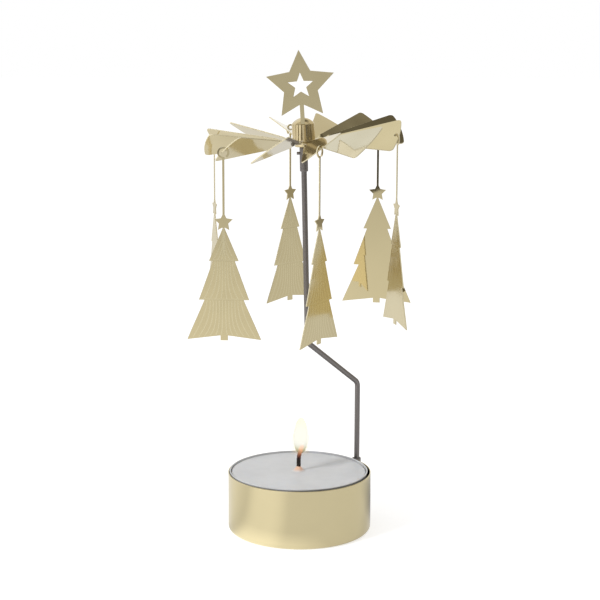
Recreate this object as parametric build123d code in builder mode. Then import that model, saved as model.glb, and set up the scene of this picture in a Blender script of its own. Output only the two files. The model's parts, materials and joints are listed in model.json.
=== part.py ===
from build123d import *
import math
import os

# A rotary tealight holder in thin brass sheet. A round cup holds a tealight. A bent rod stands in
# a socket behind the cup and carries a needle. A rotor with twelve pitched blades turns on the
# needle, with a star on its hub and six flat trees hanging from every second blade.
# Millimetres, Z up, origin at the middle of the cup's underside, front of the object towards -Y.

os.makedirs("parts", exist_ok=True)

UP = Vector(0, 0, 1)

# Driving dimensions: tealight
tealight_diameter = 38.0
tealight_height = 16.3
tealight_sheet = 0.2
tealight_lip = 0.15
tealight_lip_height = 0.5
tealight_bottom_round = 1.5
tealight_side = 200.0        # azimuth towards which the tealight is pushed in its cup
wax_shrinkage = 0.35
wax_below_rim = 0.55
wax_edge_round = 0.4
wax_mound_radius = 1.7
wax_mound_height = 1.3
wick_diameter = 1.05
wick_straight = 4.2          # upright length above the flat wax
wick_bend_radius = 7.2
wick_bend_angle = 27.0
wick_clearance = 0.02
sustainer_diameter = 12.5
sustainer_sheet = 0.25
sustainer_neck_height = 2.6
sustainer_neck_wall = 0.25

# Driving dimensions: cup
cup_sheet = 0.3
cup_height = 16.2
cup_bottom_round = 1.3
cup_rim_round = 0.1
tealight_play = 0.35         # radial room for the tealight
tealight_least_gap = 0.1     # gap left between the tealight and the wall it leans to

# Driving dimensions: rod and socket
rod_diameter = 1.5
rod_azimuth = 39.0           # where the rod stands behind the cup
lower_leg_rise = 22.0        # from the cup's rim to the corner of the lower bend
diagonal_rise = 13.9
upper_leg_rise = 58.2        # from the corner of the upper bend to the needle's tip
upper_leg_run = 1.8
bend_radius = 2.2
rod_end_round = 0.2
socket_foot_height = 6.2     # underside of the socket above the cup's underside
socket_floor = 0.8
socket_wall = 0.4
socket_clearance = 0.03
socket_web_width = 1.6
socket_gap = 0.1             # from the socket's tube to the cup's wall, filled by the web

# Driving dimensions: needle and sleeve
tip_x = 0.7
tip_y = -0.2
tip_gap = 0.02
needle_diameter = 1.0
needle_half_angle = 20.0
needle_fit = 0.01
sleeve_diameter = 2.2
sleeve_below_tip = 5.1
sleeve_length = 6.4
sleeve_grip = 3.2            # length of the rod inside the sleeve
sleeve_round = 0.15
nub_diameter = 0.8
nub_reach = 0.75
nub_below_top = 1.6
nub_azimuth = 180.0

# Driving dimensions: rotor
sheet = 0.3
lean_left = 3.7              # the rotor hangs a little crooked on its needle
lean_front = 2.9
pivot_height = 3.6           # needle's tip above the middle of the rotor's sheet
blade_count = 12
first_blade = -20.2
blade_pitch = 32.0
blade_rise = 3.5             # the blades bend up at the hub's edge
blade_tip_radius = 26.5
blade_tip_half_angle = 13.9
blade_corner_round = 1.0
blade_start = 7.2
blade_root_width = 3.2
blade_neck_width = 2.0
hub_flat_radius = 5.0
hanging_hole_diameter = 1.2
hanging_hole_from_tip = 0.85

# Driving dimensions: hub
cap_diameter = 6.04
cap_height = 6.2
cap_dome_rise = 1.6
cap_rim_reach = 0.15
cap_rim_height = 0.35
hub_bore_diameter = 3.8
hub_neck_wall = 0.3
hub_fit = 0.01
collar_diameter = 5.3
collar_height = 1.1
collar_round = 0.4
dimple_depth = 0.7
dimple_half_angle = 50.0
seat_roof = 0.7              # thickness above the dimple

# Driving dimensions: star
star_radius = 9.35
star_notch_share = 0.5
star_window_radius = 3.46
star_window_notch_share = 0.43
star_above_cap = 8.55        # from the cap's top to the star's centre
star_stem_width = 1.12
star_setback = 1.9           # from the hub's axis to the middle of the star's sheet
star_slot_clearance = 0.02

# Driving dimensions: hanging trees
ring_outer_radius = 1.55
ring_strip = 0.5
ring_sag = 0.4               # from the sheet's middle down to the ring's centre, square to it
ring_gap_start = 11.0
ring_gap_end = 37.0
stem_width = 0.56
tree_star_drop = 17.8        # from the ring's centre to the small star's centre
tree_star_radius = 2.3
tree_star_notch_share = 0.58
first_tier_height = 8.75
second_tier_height = 10.2
third_tier_height = 10.5
first_tier_half_width = 3.85
second_tier_half_width = 6.54
third_tier_half_width = 9.66
first_notch_half_width = 2.86
second_notch_half_width = 5.1
skirt_rise = 1.1             # from the lowest corners up to the trunk's root
trunk_half_width = 0.97
trunk_length = 1.3
tree_turns = [-54.8, -48.8, -52.3, -53.8, -43.1, -39.8]   # each tree's plane against its blade

# Overrun of a cutting shape past the face that it cuts
overrun = 1.0

# Derived sizes: tealight and cup
tealight_radius = tealight_diameter / 2
tealight_wall_radius = tealight_radius - tealight_lip
cup_inner_radius = tealight_radius + tealight_play
cup_radius = cup_inner_radius + cup_sheet
tealight_shift = tealight_play - tealight_least_gap
tealight_origin = Vector(
    tealight_shift * math.cos(math.radians(tealight_side)),
    tealight_shift * math.sin(math.radians(tealight_side)),
    cup_sheet,
)
tealight_section = Plane(origin=tealight_origin, x_dir=(1, 0, 0), z_dir=(0, -1, 0))
tealight_axis = Axis(tealight_origin, UP)
wax_radius = tealight_wall_radius - tealight_sheet - wax_shrinkage
wax_top = tealight_height - wax_below_rim
wax_bottom_round = tealight_bottom_round - tealight_sheet
wick_radius = wick_diameter / 2
wick_hole_radius = wick_radius + wick_clearance
wick_foot = tealight_sheet + sustainer_sheet
sustainer_radius = sustainer_diameter / 2
sustainer_neck_radius = wick_hole_radius + sustainer_neck_wall
sustainer_neck_top = wick_foot + sustainer_neck_height

# Derived sizes: rod, which lies in the upright plane through its foot and the needle's tip
rod_radius = rod_diameter / 2
socket_bore_radius = rod_radius + socket_clearance
socket_radius = socket_bore_radius + socket_wall
socket_distance = cup_radius + socket_gap + socket_radius
socket_height = cup_height - socket_foot_height
rod_foot_height = socket_foot_height + socket_floor
lower_bend_height = cup_height + lower_leg_rise
upper_bend_height = lower_bend_height + diagonal_rise
tip_height = upper_bend_height + upper_leg_rise
tip = Vector(tip_x, tip_y, tip_height)
foot = Vector(
    socket_distance * math.cos(math.radians(rod_azimuth)),
    socket_distance * math.sin(math.radians(rod_azimuth)),
    0,
)
foot_to_tip = Vector(tip.X - foot.X, tip.Y - foot.Y, 0)
inward = foot_to_tip.normalized()
rod_plane = Plane(origin=foot, x_dir=inward, z_dir=inward.cross(UP))
upper_bend_reach = foot_to_tip.length - upper_leg_run
upper_bend = foot + inward * upper_bend_reach + UP * upper_bend_height
needle_direction = (tip - upper_bend).normalized()
needle_section = Plane(
    origin=tip, x_dir=needle_direction.cross(rod_plane.z_dir), z_dir=rod_plane.z_dir
)
needle_axis = Axis(tip, needle_direction)
needle_radius = needle_diameter / 2
needle_point_length = needle_radius / math.tan(math.radians(needle_half_angle))
sleeve_radius = sleeve_diameter / 2
sleeve_bottom_below_tip = sleeve_below_tip + sleeve_length
rod_end_below_tip = sleeve_bottom_below_tip - sleeve_grip

# Derived sizes: rotor and hub, on a plane that leans about the needle's tip
slope_left = math.tan(math.radians(lean_left))
slope_front = math.tan(math.radians(lean_front))
rotor_normal = Vector(-slope_left, -slope_front, 1).normalized()
pivot_plane = Plane(origin=tip, x_dir=(1, 0, slope_left), z_dir=rotor_normal)
sheet_plane = pivot_plane.offset(-pivot_height)
hub_centre = sheet_plane.origin
hub_section = Plane(origin=hub_centre, x_dir=sheet_plane.x_dir, z_dir=-sheet_plane.y_dir)
hub_axis = Axis(hub_centre, rotor_normal)
star_plane = hub_section.offset(star_setback)
cap_base = sheet / 2
cap_top = cap_base + cap_height
cap_radius = cap_diameter / 2
cap_shoulder = cap_top - cap_dome_rise
hub_bore_radius = hub_bore_diameter / 2
hub_neck_radius = hub_bore_radius + hub_neck_wall
hub_neck_bottom = -cap_base - collar_height
collar_radius = collar_diameter / 2
seat_top = pivot_height + seat_roof
seat_bottom = pivot_height - dimple_depth
dimple_radius = dimple_depth * math.tan(math.radians(dimple_half_angle))
star_centre_height = cap_top + star_above_cap
blade_step = 360 / blade_count
blade_azimuths = [first_blade + blade_step * number for number in range(blade_count)]
hanging_azimuths = blade_azimuths[::2]
tip_corner_x = blade_tip_radius * math.cos(math.radians(blade_tip_half_angle))
tip_corner_y = blade_tip_radius * math.sin(math.radians(blade_tip_half_angle))
hole_radius = hanging_hole_diameter / 2
hole_distance = blade_tip_radius - hanging_hole_from_tip

# Derived sizes: trees, measured down from the ring's centre
ring_inner_radius = ring_outer_radius - ring_strip
ring_middle_radius = ring_outer_radius - ring_strip / 2
ring_reach = math.sqrt(ring_middle_radius**2 - ring_sag**2)
tree_apex_drop = tree_star_drop + tree_star_radius * tree_star_notch_share
first_tier_drop = tree_apex_drop + first_tier_height
second_tier_drop = first_tier_drop + second_tier_height
third_tier_drop = second_tier_drop + third_tier_height
trunk_root_drop = third_tier_drop - skirt_rise
trunk_drop = trunk_root_drop + trunk_length
tree_neck_drop = (tree_apex_drop + first_tier_drop) / 2


def radial(azimuth):
    """Unit vector in the rotor's sheet, outwards from the hub at the given azimuth."""
    angle = math.radians(azimuth)
    return sheet_plane.x_dir * math.cos(angle) + sheet_plane.y_dir * math.sin(angle)


def tangent(azimuth):
    """Unit vector in the rotor's sheet, a quarter turn on from the radial one."""
    return rotor_normal.cross(radial(azimuth))


def outwards(azimuth):
    """Unit vector along a blade's middle line, which rises from the hub's edge."""
    angle = math.radians(blade_rise)
    return radial(azimuth) * math.cos(angle) + rotor_normal * math.sin(angle)


def across(azimuth):
    """Unit vector across a pitched blade, from its low edge to its high edge."""
    angle = math.radians(blade_pitch)
    level = tangent(azimuth)
    return level * math.cos(angle) + outwards(azimuth).cross(level) * math.sin(angle)


def hub_edge(azimuth):
    """Plane of the hub's flat edge under a blade: X runs along it and Z outwards."""
    out = radial(azimuth)
    return Plane(origin=hub_centre + out * hub_flat_radius, x_dir=tangent(azimuth), z_dir=out)


def blade_plane(azimuth):
    """Plane of a pitched blade: X runs outwards and Y across, to the high edge.

    X is counted so that the blade's middle line leaves the hub's edge at the hub's flat radius.
    """
    out = outwards(azimuth)
    origin = hub_edge(azimuth).origin - out * hub_flat_radius
    return Plane(origin=origin, x_dir=out, z_dir=out.cross(across(azimuth)))


def blade_root(azimuth):
    """Plane square to a blade where its neck's twist ends: X runs across it and Z outwards."""
    blade = blade_plane(azimuth)
    origin = blade.from_local_coords((blade_start, 0, 0))
    return Plane(origin=origin, x_dir=blade.y_dir, z_dir=blade.x_dir)


def star_points(radius, notch_share, centre_height):
    """Corners of an upright five-pointed star, tips and notches in turn."""
    points = []
    for corner in range(10):
        reach = radius if corner % 2 == 0 else radius * notch_share
        angle = math.pi / 2 + corner * math.pi / 5
        points.append((reach * math.cos(angle), centre_height + reach * math.sin(angle)))
    return points


def hanging_place(azimuth, turn):
    """Centre of a hanging ring, and the level direction that its plane runs outwards in.

    The ring's upright plane cuts the blade's sheet in a line through the hanging hole. The middle
    of the ring's strip passes through the hole's centre, and the ring's own centre lies further
    out on that line and a little below it.
    """
    heading = math.radians(azimuth + turn)
    level = Vector(math.cos(heading), math.sin(heading), 0)
    blade = blade_plane(azimuth)
    along = (level - UP * (level.dot(blade.z_dir) / blade.z_dir.Z)).normalized()
    square = UP * along.dot(level) - level * along.Z
    hole = blade.from_local_coords((hole_distance, 0, 0))
    return hole + along * ring_reach - square * ring_sag, level


def finish(piece, name):
    """Label a finished piece, write it and print its size."""
    piece.part.label = name
    export_step(piece.part, f"parts/{name}.step")
    print(f"{name}: {len(piece.part.solids())} solid, {piece.part.volume:.2f} mm3")


# Base cup, drawn from one sheet
with BuildPart() as base_cup:
    with BuildSketch(Plane.XZ):
        with BuildLine():
            floor_line = Line((0, 0), (cup_radius - cup_bottom_round, 0))
            outer_round = TangentArc(
                floor_line @ 1, (cup_radius, cup_bottom_round), tangent=floor_line % 1
            )
            Polyline(
                outer_round @ 1,
                (cup_radius, cup_height),
                (cup_inner_radius, cup_height),
                (cup_inner_radius, cup_bottom_round),
            )
            inner_round = TangentArc(
                (cup_inner_radius, cup_bottom_round),
                (cup_radius - cup_bottom_round, cup_sheet),
                tangent=(0, -1),
            )
            Polyline(inner_round @ 1, (0, cup_sheet), (0, 0))
        make_face()
    revolve(axis=Axis.Z)
    rim = base_cup.edges().filter_by(GeomType.CIRCLE).group_by(Axis.Z)[-1]
    fillet(rim, cup_rim_round)
finish(base_cup, "base_cup")

# Rod socket, an upright tube whose web meets the cup's wall
with BuildPart() as rod_socket:
    to_cup_axis = Vector(-foot.X, -foot.Y, 0).normalized()
    socket_plane = Plane(origin=foot + UP * socket_foot_height, x_dir=to_cup_axis, z_dir=UP)
    with BuildSketch(socket_plane):
        Circle(socket_radius)
        web_reach = socket_distance - cup_radius + overrun
        with Locations((web_reach / 2, 0)):
            Rectangle(web_reach, socket_web_width)
        with Locations((socket_distance, 0)):
            Circle(cup_radius, mode=Mode.SUBTRACT)
    extrude(amount=socket_height)
    with BuildSketch(socket_plane.offset(socket_floor)):
        Circle(socket_bore_radius)
    extrude(amount=socket_height, mode=Mode.SUBTRACT)
finish(rod_socket, "rod_socket")

# Tealight's aluminium cup, with a small rolled lip
with BuildPart() as tealight_cup:
    with BuildSketch(tealight_section):
        with BuildLine():
            floor_line = Line((0, 0), (tealight_wall_radius - tealight_bottom_round, 0))
            outer_round = TangentArc(
                floor_line @ 1,
                (tealight_wall_radius, tealight_bottom_round),
                tangent=floor_line % 1,
            )
            Polyline(
                outer_round @ 1,
                (tealight_wall_radius, tealight_height - tealight_lip_height),
                (tealight_radius, tealight_height - tealight_lip_height + tealight_lip),
                (tealight_radius, tealight_height - tealight_lip),
                (tealight_wall_radius, tealight_height),
                (tealight_wall_radius - tealight_sheet, tealight_height),
                (tealight_wall_radius - tealight_sheet, tealight_bottom_round),
            )
            inner_round = TangentArc(
                (tealight_wall_radius - tealight_sheet, tealight_bottom_round),
                (tealight_wall_radius - tealight_bottom_round, tealight_sheet),
                tangent=(0, -1),
            )
            Polyline(inner_round @ 1, (0, tealight_sheet), (0, 0))
        make_face()
    revolve(axis=tealight_axis)
finish(tealight_cup, "tealight_cup")

# Wax, shrunk a little from the wall, with a mound round the wick
with BuildPart() as wax:
    with BuildSketch(tealight_section):
        recess_radius = sustainer_radius + wick_clearance
        recess_top = wick_foot + wick_clearance
        neck_hole_radius = sustainer_neck_radius + wick_clearance
        with BuildLine():
            floor_line = Line(
                (recess_radius, tealight_sheet), (wax_radius - wax_bottom_round, tealight_sheet)
            )
            lower_round = TangentArc(
                floor_line @ 1,
                (wax_radius, tealight_sheet + wax_bottom_round),
                tangent=floor_line % 1,
            )
            side_line = Line(lower_round @ 1, (wax_radius, wax_top - wax_edge_round))
            upper_round = TangentArc(
                side_line @ 1, (wax_radius - wax_edge_round, wax_top), tangent=side_line % 1
            )
            top_line = Line(upper_round @ 1, (wax_mound_radius, wax_top))
            mound = TangentArc(
                top_line @ 1, (wick_hole_radius, wax_top + wax_mound_height), tangent=top_line % 1
            )
            Polyline(
                mound @ 1,
                (wick_hole_radius, sustainer_neck_top),
                (neck_hole_radius, sustainer_neck_top),
                (neck_hole_radius, recess_top),
                (recess_radius, recess_top),
                (recess_radius, tealight_sheet),
            )
        make_face()
    revolve(axis=tealight_axis)
finish(wax, "wax")

# Wick sustainer, a disc with a short neck that holds the wick upright
with BuildPart() as wick_sustainer:
    with BuildSketch(tealight_section):
        with BuildLine():
            Polyline(
                (0, tealight_sheet),
                (sustainer_radius, tealight_sheet),
                (sustainer_radius, wick_foot),
                (sustainer_neck_radius, wick_foot),
                (sustainer_neck_radius, sustainer_neck_top),
                (wick_hole_radius, sustainer_neck_top),
                (wick_hole_radius, wick_foot),
                (0, wick_foot),
                close=True,
            )
        make_face()
    revolve(axis=tealight_axis)
finish(wick_sustainer, "wick_sustainer")

# Wick, upright in the wax and curling to the right at its tip
with BuildPart() as wick:
    with BuildLine(tealight_section):
        wick_line = Line((0, wick_foot), (0, wax_top + wick_straight))
        JernArc(
            start=wick_line @ 1,
            tangent=wick_line % 1,
            radius=wick_bend_radius,
            arc_size=-wick_bend_angle,
        )
    with BuildSketch(Plane(origin=tealight_origin).offset(wick_foot)):
        Circle(wick_radius)
    sweep()
finish(wick, "wick")

# Support rod, bent twice towards the axis of the cup
with BuildPart() as support_rod:
    rod_end = rod_plane.to_local_coords(tip - needle_direction * rod_end_below_tip)
    with BuildLine(rod_plane):
        FilletPolyline(
            (0, rod_foot_height),
            (0, lower_bend_height),
            (upper_bend_reach, upper_bend_height),
            (rod_end.X, rod_end.Y),
            radius=bend_radius,
        )
    with BuildSketch(Plane(origin=foot + UP * rod_foot_height)):
        Circle(rod_radius)
    sweep()
    fillet(support_rod.faces().sort_by(Axis.Z)[0].edges(), rod_end_round)
finish(support_rod, "support_rod")

# Needle sleeve, gripping the rod below and the needle above, with a small side nub
with BuildPart() as needle_sleeve:
    with BuildSketch(needle_section):
        with BuildLine():
            Polyline(
                (0, -sleeve_below_tip),
                (sleeve_radius - sleeve_round, -sleeve_below_tip),
                (sleeve_radius, -sleeve_below_tip - sleeve_round),
                (sleeve_radius, -sleeve_bottom_below_tip + sleeve_round),
                (sleeve_radius - sleeve_round, -sleeve_bottom_below_tip),
                (0, -sleeve_bottom_below_tip),
                close=True,
            )
        make_face()
    revolve(axis=needle_axis)
    nub_heading = math.radians(nub_azimuth)
    nub_plane = Plane(
        origin=tip - needle_direction * (sleeve_below_tip + nub_below_top),
        z_dir=(math.cos(nub_heading), math.sin(nub_heading), 0),
    )
    with BuildSketch(nub_plane):
        Circle(nub_diameter / 2)
    extrude(amount=sleeve_radius + nub_reach)
    fillet(needle_sleeve.faces().sort_by(Axis(nub_plane.origin, nub_plane.z_dir))[-1].edges(),
           sleeve_round)
    with BuildSketch(needle_section):
        with BuildLine():
            Polyline(
                (0, -sleeve_below_tip + overrun),
                (needle_radius + needle_fit, -sleeve_below_tip + overrun),
                (needle_radius + needle_fit, -rod_end_below_tip),
                (rod_radius + needle_fit, -rod_end_below_tip),
                (rod_radius + needle_fit, -sleeve_bottom_below_tip - overrun),
                (0, -sleeve_bottom_below_tip - overrun),
                close=True,
            )
        make_face()
    revolve(axis=needle_axis, mode=Mode.SUBTRACT)
finish(needle_sleeve, "needle_sleeve")

# Needle, pointed at its upper end
with BuildPart() as needle:
    with BuildSketch(needle_section):
        with BuildLine():
            Polyline(
                (0, -tip_gap),
                (needle_radius, -tip_gap - needle_point_length),
                (needle_radius, -rod_end_below_tip),
                (0, -rod_end_below_tip),
                close=True,
            )
        make_face()
    revolve(axis=needle_axis)
finish(needle, "needle")

# Rotor, one sheet: a flat hub, twisted necks and pitched blades
with BuildPart() as rotor:
    with BuildSketch(sheet_plane.offset(-cap_base)):
        RegularPolygon(
            hub_flat_radius,
            blade_count,
            major_radius=False,
            rotation=first_blade + blade_step / 2,
        )
        Circle(hub_neck_radius + hub_fit, mode=Mode.SUBTRACT)
    extrude(amount=sheet)
    for azimuth in blade_azimuths:
        with BuildSketch(hub_edge(azimuth)):
            Rectangle(blade_neck_width, sheet)
        with BuildSketch(blade_root(azimuth)):
            Rectangle(blade_root_width, sheet)
        loft(ruled=True)
        with BuildSketch(blade_plane(azimuth)) as blade_outline:
            with BuildLine():
                low_edge = Line((blade_start, -blade_root_width / 2), (tip_corner_x, -tip_corner_y))
                tip_arc = ThreePointArc(
                    low_edge @ 1, (blade_tip_radius, 0), (tip_corner_x, tip_corner_y)
                )
                high_edge = Line(tip_arc @ 1, (blade_start, blade_root_width / 2))
                Line(high_edge @ 1, low_edge @ 0)
            make_face()
            fillet(blade_outline.vertices().group_by(Axis.X)[-1], blade_corner_round)
            if azimuth in hanging_azimuths:
                with Locations((hole_distance, 0)):
                    Circle(hole_radius, mode=Mode.SUBTRACT)
        extrude(amount=sheet / 2, both=True)
finish(rotor, "rotor")

# Hub cap, domed and bored from below, with a slot for the star's stem
with BuildPart() as hub_cap:
    with BuildSketch(hub_section):
        with BuildLine():
            side = Polyline(
                (hub_bore_radius, hub_neck_bottom),
                (hub_neck_radius, hub_neck_bottom),
                (hub_neck_radius, cap_base),
                (cap_radius + cap_rim_reach, cap_base),
                (cap_radius + cap_rim_reach, cap_base + cap_rim_height),
                (cap_radius, cap_base + cap_rim_height),
                (cap_radius, cap_shoulder),
            )
            dome = TangentArc((0, cap_top), side @ 1, tangent=(1, 0))
            Polyline(
                dome @ 0,
                (0, seat_top),
                (hub_bore_radius, seat_top),
                (hub_bore_radius, hub_neck_bottom),
            )
        make_face()
    revolve(axis=hub_axis)
    slot_width = star_stem_width + 2 * star_slot_clearance
    with BuildSketch(star_plane.offset(-sheet / 2 - star_slot_clearance)):
        with Locations((0, cap_shoulder)):
            Rectangle(slot_width, cap_dome_rise + overrun, align=(Align.CENTER, Align.MIN))
    extrude(amount=cap_radius, mode=Mode.SUBTRACT)
finish(hub_cap, "hub_cap")

# Hub collar, pressed on the cap's neck under the sheet
with BuildPart() as hub_collar:
    with BuildSketch(hub_section):
        with BuildLine():
            underside = Line(
                (hub_neck_radius + hub_fit, hub_neck_bottom),
                (collar_radius - collar_round, hub_neck_bottom),
            )
            lower_round = TangentArc(
                underside @ 1, (collar_radius, hub_neck_bottom + collar_round), tangent=(1, 0)
            )
            Polyline(
                lower_round @ 1,
                (collar_radius, -cap_base),
                (hub_neck_radius + hub_fit, -cap_base),
                underside @ 0,
            )
        make_face()
    revolve(axis=hub_axis)
finish(hub_collar, "hub_collar")

# Pivot seat, pressed into the cap, with the dimple that rides on the needle
with BuildPart() as pivot_seat:
    with BuildSketch(hub_section):
        with BuildLine():
            Polyline(
                (0, pivot_height),
                (dimple_radius, seat_bottom),
                (hub_bore_radius - hub_fit, seat_bottom),
                (hub_bore_radius - hub_fit, seat_top),
                (0, seat_top),
                close=True,
            )
        make_face()
    revolve(axis=hub_axis)
finish(pivot_seat, "pivot_seat")

# Top star, cut from sheet, its stem standing in the cap's slot
with BuildPart() as top_star:
    with BuildSketch(star_plane):
        with BuildLine():
            Polyline(*star_points(star_radius, star_notch_share, star_centre_height), close=True)
        make_face()
        with BuildLine():
            Polyline(
                *star_points(star_window_radius, star_window_notch_share, star_centre_height),
                close=True,
            )
        make_face(mode=Mode.SUBTRACT)
        stem_top = star_centre_height - star_radius * star_notch_share
        with Locations((0, cap_shoulder)):
            Rectangle(star_stem_width, stem_top - cap_shoulder, align=(Align.CENTER, Align.MIN))
    extrude(amount=sheet / 2, both=True)
finish(top_star, "top_star")

# Hanging trees, each with a hook ring, a stem, a small star and a three-tiered tree
ring_gap = [
    (
        -2 * ring_outer_radius * math.sin(math.radians(angle)),
        -2 * ring_outer_radius * math.cos(math.radians(angle)),
    )
    for angle in (ring_gap_start, ring_gap_end)
]
tree_side = [
    (first_tier_half_width, -first_tier_drop),
    (first_notch_half_width, -first_tier_drop),
    (second_tier_half_width, -second_tier_drop),
    (second_notch_half_width, -second_tier_drop),
    (third_tier_half_width, -third_tier_drop),
    (trunk_half_width, -trunk_root_drop),
    (trunk_half_width, -trunk_drop),
]
tree_outline = [(0, -tree_apex_drop)] + tree_side + [(-x, y) for x, y in reversed(tree_side)]
hanging_places = []
for number, (azimuth, turn) in enumerate(zip(hanging_azimuths, tree_turns), start=1):
    ring_centre, level = hanging_place(azimuth, turn)
    tree_plane = Plane(origin=ring_centre, x_dir=level, z_dir=level.cross(UP))
    with BuildPart() as tree:
        with BuildSketch(tree_plane):
            Circle(ring_outer_radius)
            Circle(ring_inner_radius, mode=Mode.SUBTRACT)
            with BuildLine():
                Polyline((0, 0), *ring_gap, close=True)
            make_face(mode=Mode.SUBTRACT)
            with Locations((0, -ring_middle_radius)):
                Rectangle(
                    stem_width,
                    tree_neck_drop - ring_middle_radius,
                    align=(Align.CENTER, Align.MAX),
                )
            with BuildLine():
                Polyline(
                    *star_points(tree_star_radius, tree_star_notch_share, -tree_star_drop),
                    close=True,
                )
            make_face()
            with BuildLine():
                Polyline(*tree_outline, close=True)
            make_face()
        extrude(amount=sheet / 2, both=True)
    finish(tree, f"tree_{number}")
    hanging_places.append((ring_centre, tree_plane.z_dir))

# Joint places, for the record
print(f"needle tip: {tip.X:.3f} {tip.Y:.3f} {tip.Z:.3f}")
for number, (centre, axis) in enumerate(hanging_places, start=1):
    print(f"ring {number}: {centre.X:.4f} {centre.Y:.4f} {centre.Z:.4f}"
          f" axis {axis.X:.5f} {axis.Y:.5f} {axis.Z:.5f}")
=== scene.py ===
"""Visual model of a rotary tealight holder in thin brass sheet.

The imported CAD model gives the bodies, the joints and the places. The pieces here take their sizes
from it and from the property groups below, and each rides on its CAD body. Lengths are metres.
"""

import json
import math

import bmesh
import bpy
import numpy as np
from mathutils import Matrix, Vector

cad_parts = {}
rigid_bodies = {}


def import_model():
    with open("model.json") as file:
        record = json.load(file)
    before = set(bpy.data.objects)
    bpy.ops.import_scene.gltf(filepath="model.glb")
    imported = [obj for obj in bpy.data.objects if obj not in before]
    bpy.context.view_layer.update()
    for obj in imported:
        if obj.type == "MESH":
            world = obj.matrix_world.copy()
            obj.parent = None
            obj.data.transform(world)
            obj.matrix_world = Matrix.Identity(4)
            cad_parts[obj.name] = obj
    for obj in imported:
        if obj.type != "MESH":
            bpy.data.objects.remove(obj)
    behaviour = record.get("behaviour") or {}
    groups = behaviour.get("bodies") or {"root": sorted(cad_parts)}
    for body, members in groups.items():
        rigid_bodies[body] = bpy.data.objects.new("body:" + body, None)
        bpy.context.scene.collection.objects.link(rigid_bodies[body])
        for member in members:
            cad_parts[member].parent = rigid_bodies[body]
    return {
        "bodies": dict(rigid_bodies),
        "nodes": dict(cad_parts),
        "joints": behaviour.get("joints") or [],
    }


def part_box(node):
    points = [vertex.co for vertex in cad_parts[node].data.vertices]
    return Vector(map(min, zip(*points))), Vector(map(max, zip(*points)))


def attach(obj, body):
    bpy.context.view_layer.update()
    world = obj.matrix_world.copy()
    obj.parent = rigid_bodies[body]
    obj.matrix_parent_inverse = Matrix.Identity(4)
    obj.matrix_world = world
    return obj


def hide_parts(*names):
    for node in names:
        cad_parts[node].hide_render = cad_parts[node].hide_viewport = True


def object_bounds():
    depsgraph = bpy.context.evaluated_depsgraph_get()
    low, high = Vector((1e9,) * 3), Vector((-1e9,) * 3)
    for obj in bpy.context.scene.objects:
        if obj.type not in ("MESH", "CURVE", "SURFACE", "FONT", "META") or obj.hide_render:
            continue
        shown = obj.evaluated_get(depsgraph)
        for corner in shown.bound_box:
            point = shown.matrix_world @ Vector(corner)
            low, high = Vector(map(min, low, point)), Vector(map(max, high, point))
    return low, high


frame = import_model()

bl_info = {
    "name": "Rotary tealight holder",
    "version": (1, 0, 0),
    "blender": (4, 5, 0),
    "location": "3D view > Sidebar > Tealight holder",
    "description": "Makes the visible pieces of a rotary tealight holder around its CAD frame",
    "category": "Add Mesh",
}

MM = 0.001
UP = np.array([0.0, 0.0, 1.0])
WHOLE_TURN = 2 * math.pi
MERGE_DISTANCE = 0.0004 * MM
FOLD = 12.0              # degrees from which an edge of a sheet piece is a sharp one
CREASE = 38.0            # the same for the other pieces
TREE_COLUMNS = 241       # points across a tree's tier
TREE_ROWS = 34           # points down a tree's tier
TREE_LINES = (3, 4, 6)   # engraved lines on each side of the middle, tier by tier
LINE_BEND = 4.5          # how strongly the inner lines bend outwards
BLADE_COLUMNS = 14       # points across half a blade
ROW_STEP = 0.002 * MM    # a blade's rows lie on multiples of this distance
STEP_UNDER = 0.005 * MM  # how far one face of a sheet lies under another that it runs into
SOCKET_ROUND, WEB_ROUND = 0.08 * MM, 0.05 * MM    # rounds along the socket's edges
FLAME_SHELLS = 7         # teardrops inside each other
FLAME_ROWS, FLAME_COLUMNS = 60, 40  # points up a teardrop and round it
FOOT_POWER = 0.4         # how blunt the flame's foot is, from 0 to 1
CORE_FOOT, CORE_TIP = 0.44, 0.10   # how far the innermost shell's ends move in, by flame heights
CORE_NARROWING = 0.42              # how much narrower the innermost shell is
BLADE_WAVES = (310, 420)           # a blade's slow waves outwards and across, radians per metre
WAX_WAVES = (230, 190)             # the same for the wax, sideways and backwards
DRIFT_SCALE = 90.0       # scale of the slow changes in a metal's colour
NOISE_MIDDLE = (0.32, 0.68)        # where most values of a noise lie
EDGE_ROUGHNESS, EDGE_MIRROR = 0.34, 0.2    # cut edges: roughness, and how metallic they are
GROOVE_ROUGHNESS = 0.22            # roughness of the engraved lines
CAD_BOX = [list(corner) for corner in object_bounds()]
JOINTS = {joint["name"]: joint for joint in frame["joints"]}
TIP = np.array(JOINTS["rotor_spin"]["pos_m"])
TREE_COUNT = sum(name.startswith("tree_") for name in frame["bodies"])

# Trees whose engraved face looks along their hook's joint axis; the others look against it
ENGRAVED_FORWARD = (1, 3)

# Soft areas of the surroundings as metal sees them: azimuth from +Y towards +X, elevation, half
# width in degrees, and colour
SURROUNDINGS = (
    ("front", 180, 3, 27, (0.55, 0.52, 0.46)),
    ("dark front left", -165, -3, 10, (0.05, 0.045, 0.04)),
    ("backdrop", 0, -2, 38, (1.0, 1.0, 1.0)),
    ("overhead", 0, 90, 48, (0.72, 0.70, 0.64)),
    ("upper left", -36, 52, 42, (0.93, 0.93, 0.92)),
    ("cool upper left", -27, 33, 17, (0.93, 0.99, 1.16)),
    ("left", -70, 15, 31, (0.82, 0.84, 0.90)),
    ("right", 66, -4, 24, (0.34, 0.32, 0.28)),
    ("dark upper right", 25, 68, 24, (0.12, 0.11, 0.09)),
    ("window", -154, 31, 17, (1.45, 1.7, 3.0)),
)

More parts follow.
